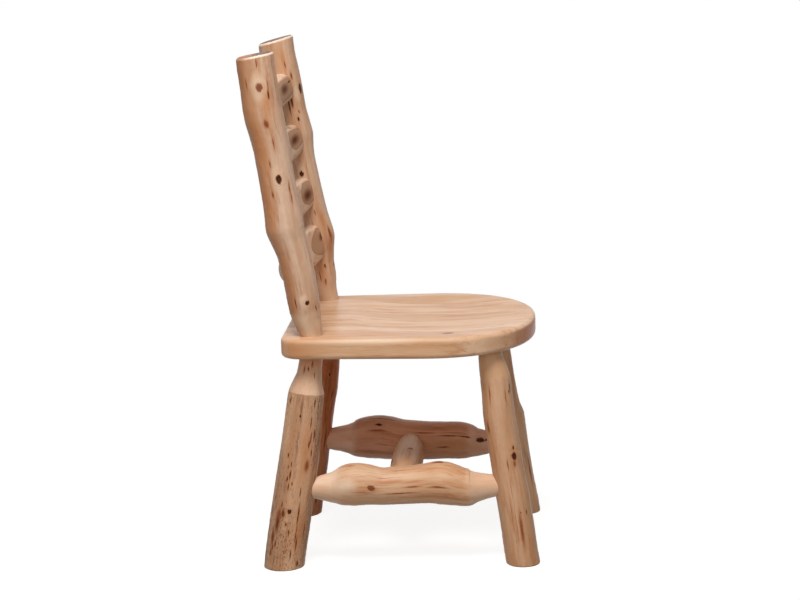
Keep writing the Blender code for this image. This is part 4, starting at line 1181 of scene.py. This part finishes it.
for number, (aside, above) in enumerate(BOARD_HEARTS):
    middle_of_board = -SEAT_WIDTH / 2 + PITCH_OF_BOARDS * (number + 0.5)
    heart = np.array((middle_of_board + aside * MM, 0, SEAT_TOP + above * MM))

    def in_board(points, heart=heart):
        return (points - heart)[:, [0, 2, 1]]

    node = f"seat_board_{number + 1}"
    rows = [(tuple(in_board(np.array([place]) * MM)[0]), wide * MM, long * MM, kind)
            for place, wide, long, kind in SEAT_MARKS.get(node, ())]
    seed = FIRST_BOARD_SEED + number * BOARD_SEED_STEP
    material = finished_wood(node + "_wood", seed, rows, **SEAT_LOOK)
    mesh = keep_grain(board_mesh(number), in_board, -FORWARD)
    place_piece(node, "_plank", mesh, material)
bpy.data.meshes.remove(panel)

# %% [markdown]
# ## Floor, light and camera
#
# The chair stands on a plain pale floor. The camera sees floor and world as white, while the
# chair is lit by a wide lamp above, a weaker one at its right and a quiet world, so its
# colours stay as they are written. The floor still darkens where the chair shades it.

# %% The floor
FLOOR_RADIUS, NEAR_FLOOR, FAR_FLOOR, WHITE = 6, 0.45, 0.9, (1, 1, 1, 1)


def seen_rays(tree):
    """1 for rays that the camera sees, straight or by a mirror or a glass, and 0 for the rest."""
    rays = add(tree, "ShaderNodeLightPath")
    bounced = maths("MAXIMUM", rays["Is Glossy Ray"], rays["Is Transmission Ray"])
    return maths("MAXIMUM", rays["Is Camera Ray"], bounced)


shape = bmesh.new()
bmesh.ops.create_circle(shape, cap_ends=True, segments=96, radius=FLOOR_RADIUS)
mesh = bpy.data.meshes.new("studio_floor")
shape.to_mesh(mesh)
shape.free()
floor = linked("studio_floor", mesh)
paint = bpy.data.materials.new("studio_floor_paint")
paint.use_nodes = True
tree = paint.node_tree
tree.nodes.remove(tree.nodes["Principled BSDF"])
distance = vectors("LENGTH", add(tree, "ShaderNodeTexCoord")["Object"])
plain = add(tree, "ShaderNodeBsdfDiffuse", shade(150, 147, 142))
shaded = add(tree, "ShaderNodeBsdfDiffuse", shade(150, 149, 147))
near = add(tree, "ShaderNodeAddShader", shaded, add(tree, "ShaderNodeEmission", WHITE, 0.86))
white = add(tree, "ShaderNodeEmission", WHITE, 1.0)
shown = add(tree, "ShaderNodeMixShader", between(distance, NEAR_FLOOR, FAR_FLOOR), near, white)
surface = add(tree, "ShaderNodeMixShader", seen_rays(tree), plain, shown)
surface.into(tree.nodes["Material Output"].inputs["Surface"])
mesh.materials.append(paint)
print("floor", 2 * FLOOR_RADIUS, "m across")

# %% The world and the lamps
WORLD_LIGHT, MIDDLE_OF_CHAIR = 0.24, Vector((0, 0, 0.5))
KEY_PLACE, KEY_SIZE, KEY_POWER = Vector((-1.6, 0.05, 3.4)), 1.6, 98
FILL_PLACE, FILL_SIZE, FILL_POWER = Vector((-2.8, 0.3, 1.2)), 2.2, 20
world = bpy.data.worlds.new("studio")
bpy.context.scene.world = world
world.use_nodes = True
background = world.node_tree.nodes["Background"].inputs
(seen_rays(world.node_tree) * (1 - WORLD_LIGHT) + WORLD_LIGHT).into(background["Strength"])
background["Color"].default_value = WHITE


def lamp(name, place, size, power):
    light = bpy.data.lights.new(name, "AREA")
    light.shape = "DISK"
    light.size = size
    light.energy = power
    made = linked(name, light)
    made.location = place
    made.rotation_euler = (MIDDLE_OF_CHAIR - place).to_track_quat("-Z", "Y").to_euler()


lamp("key_lamp", KEY_PLACE, KEY_SIZE, KEY_POWER)
lamp("fill_lamp", FILL_PLACE, FILL_SIZE, FILL_POWER)
print("lamps:", list(bpy.data.lights.keys()))

# %% The camera
# A long lens at the chair's right and above the seat. Yaw, pitch and roll are in radians.
CAMERA_PLACE, YAW, PITCH, ROLL = Vector((-4.6651, -0.3188, 1.3810)), 0.0667, 0.1888, -0.0299
LENS, FILM_WIDTH = 108, 36
ahead = Vector((math.cos(YAW) * math.cos(PITCH), math.sin(YAW) * math.cos(PITCH), -math.sin(PITCH)))
level = Vector((math.sin(YAW), -math.cos(YAW), 0))
above = level.cross(ahead)
right = level * math.cos(ROLL) + above * math.sin(ROLL)
up = above * math.cos(ROLL) - level * math.sin(ROLL)
lens = bpy.data.cameras.new("camera")
lens.lens, lens.sensor_width = LENS, FILM_WIDTH
camera = linked("camera", lens)
camera.matrix_world = Matrix.Translation(CAMERA_PLACE) @ Matrix((right, up, -ahead)).transposed().to_4x4()
bpy.context.scene.camera = camera
bpy.context.scene.view_settings.view_transform = "Standard"
print("camera at", [round(value, 3) for value in CAMERA_PLACE])

# %% Finish
bpy.context.view_layer.update()
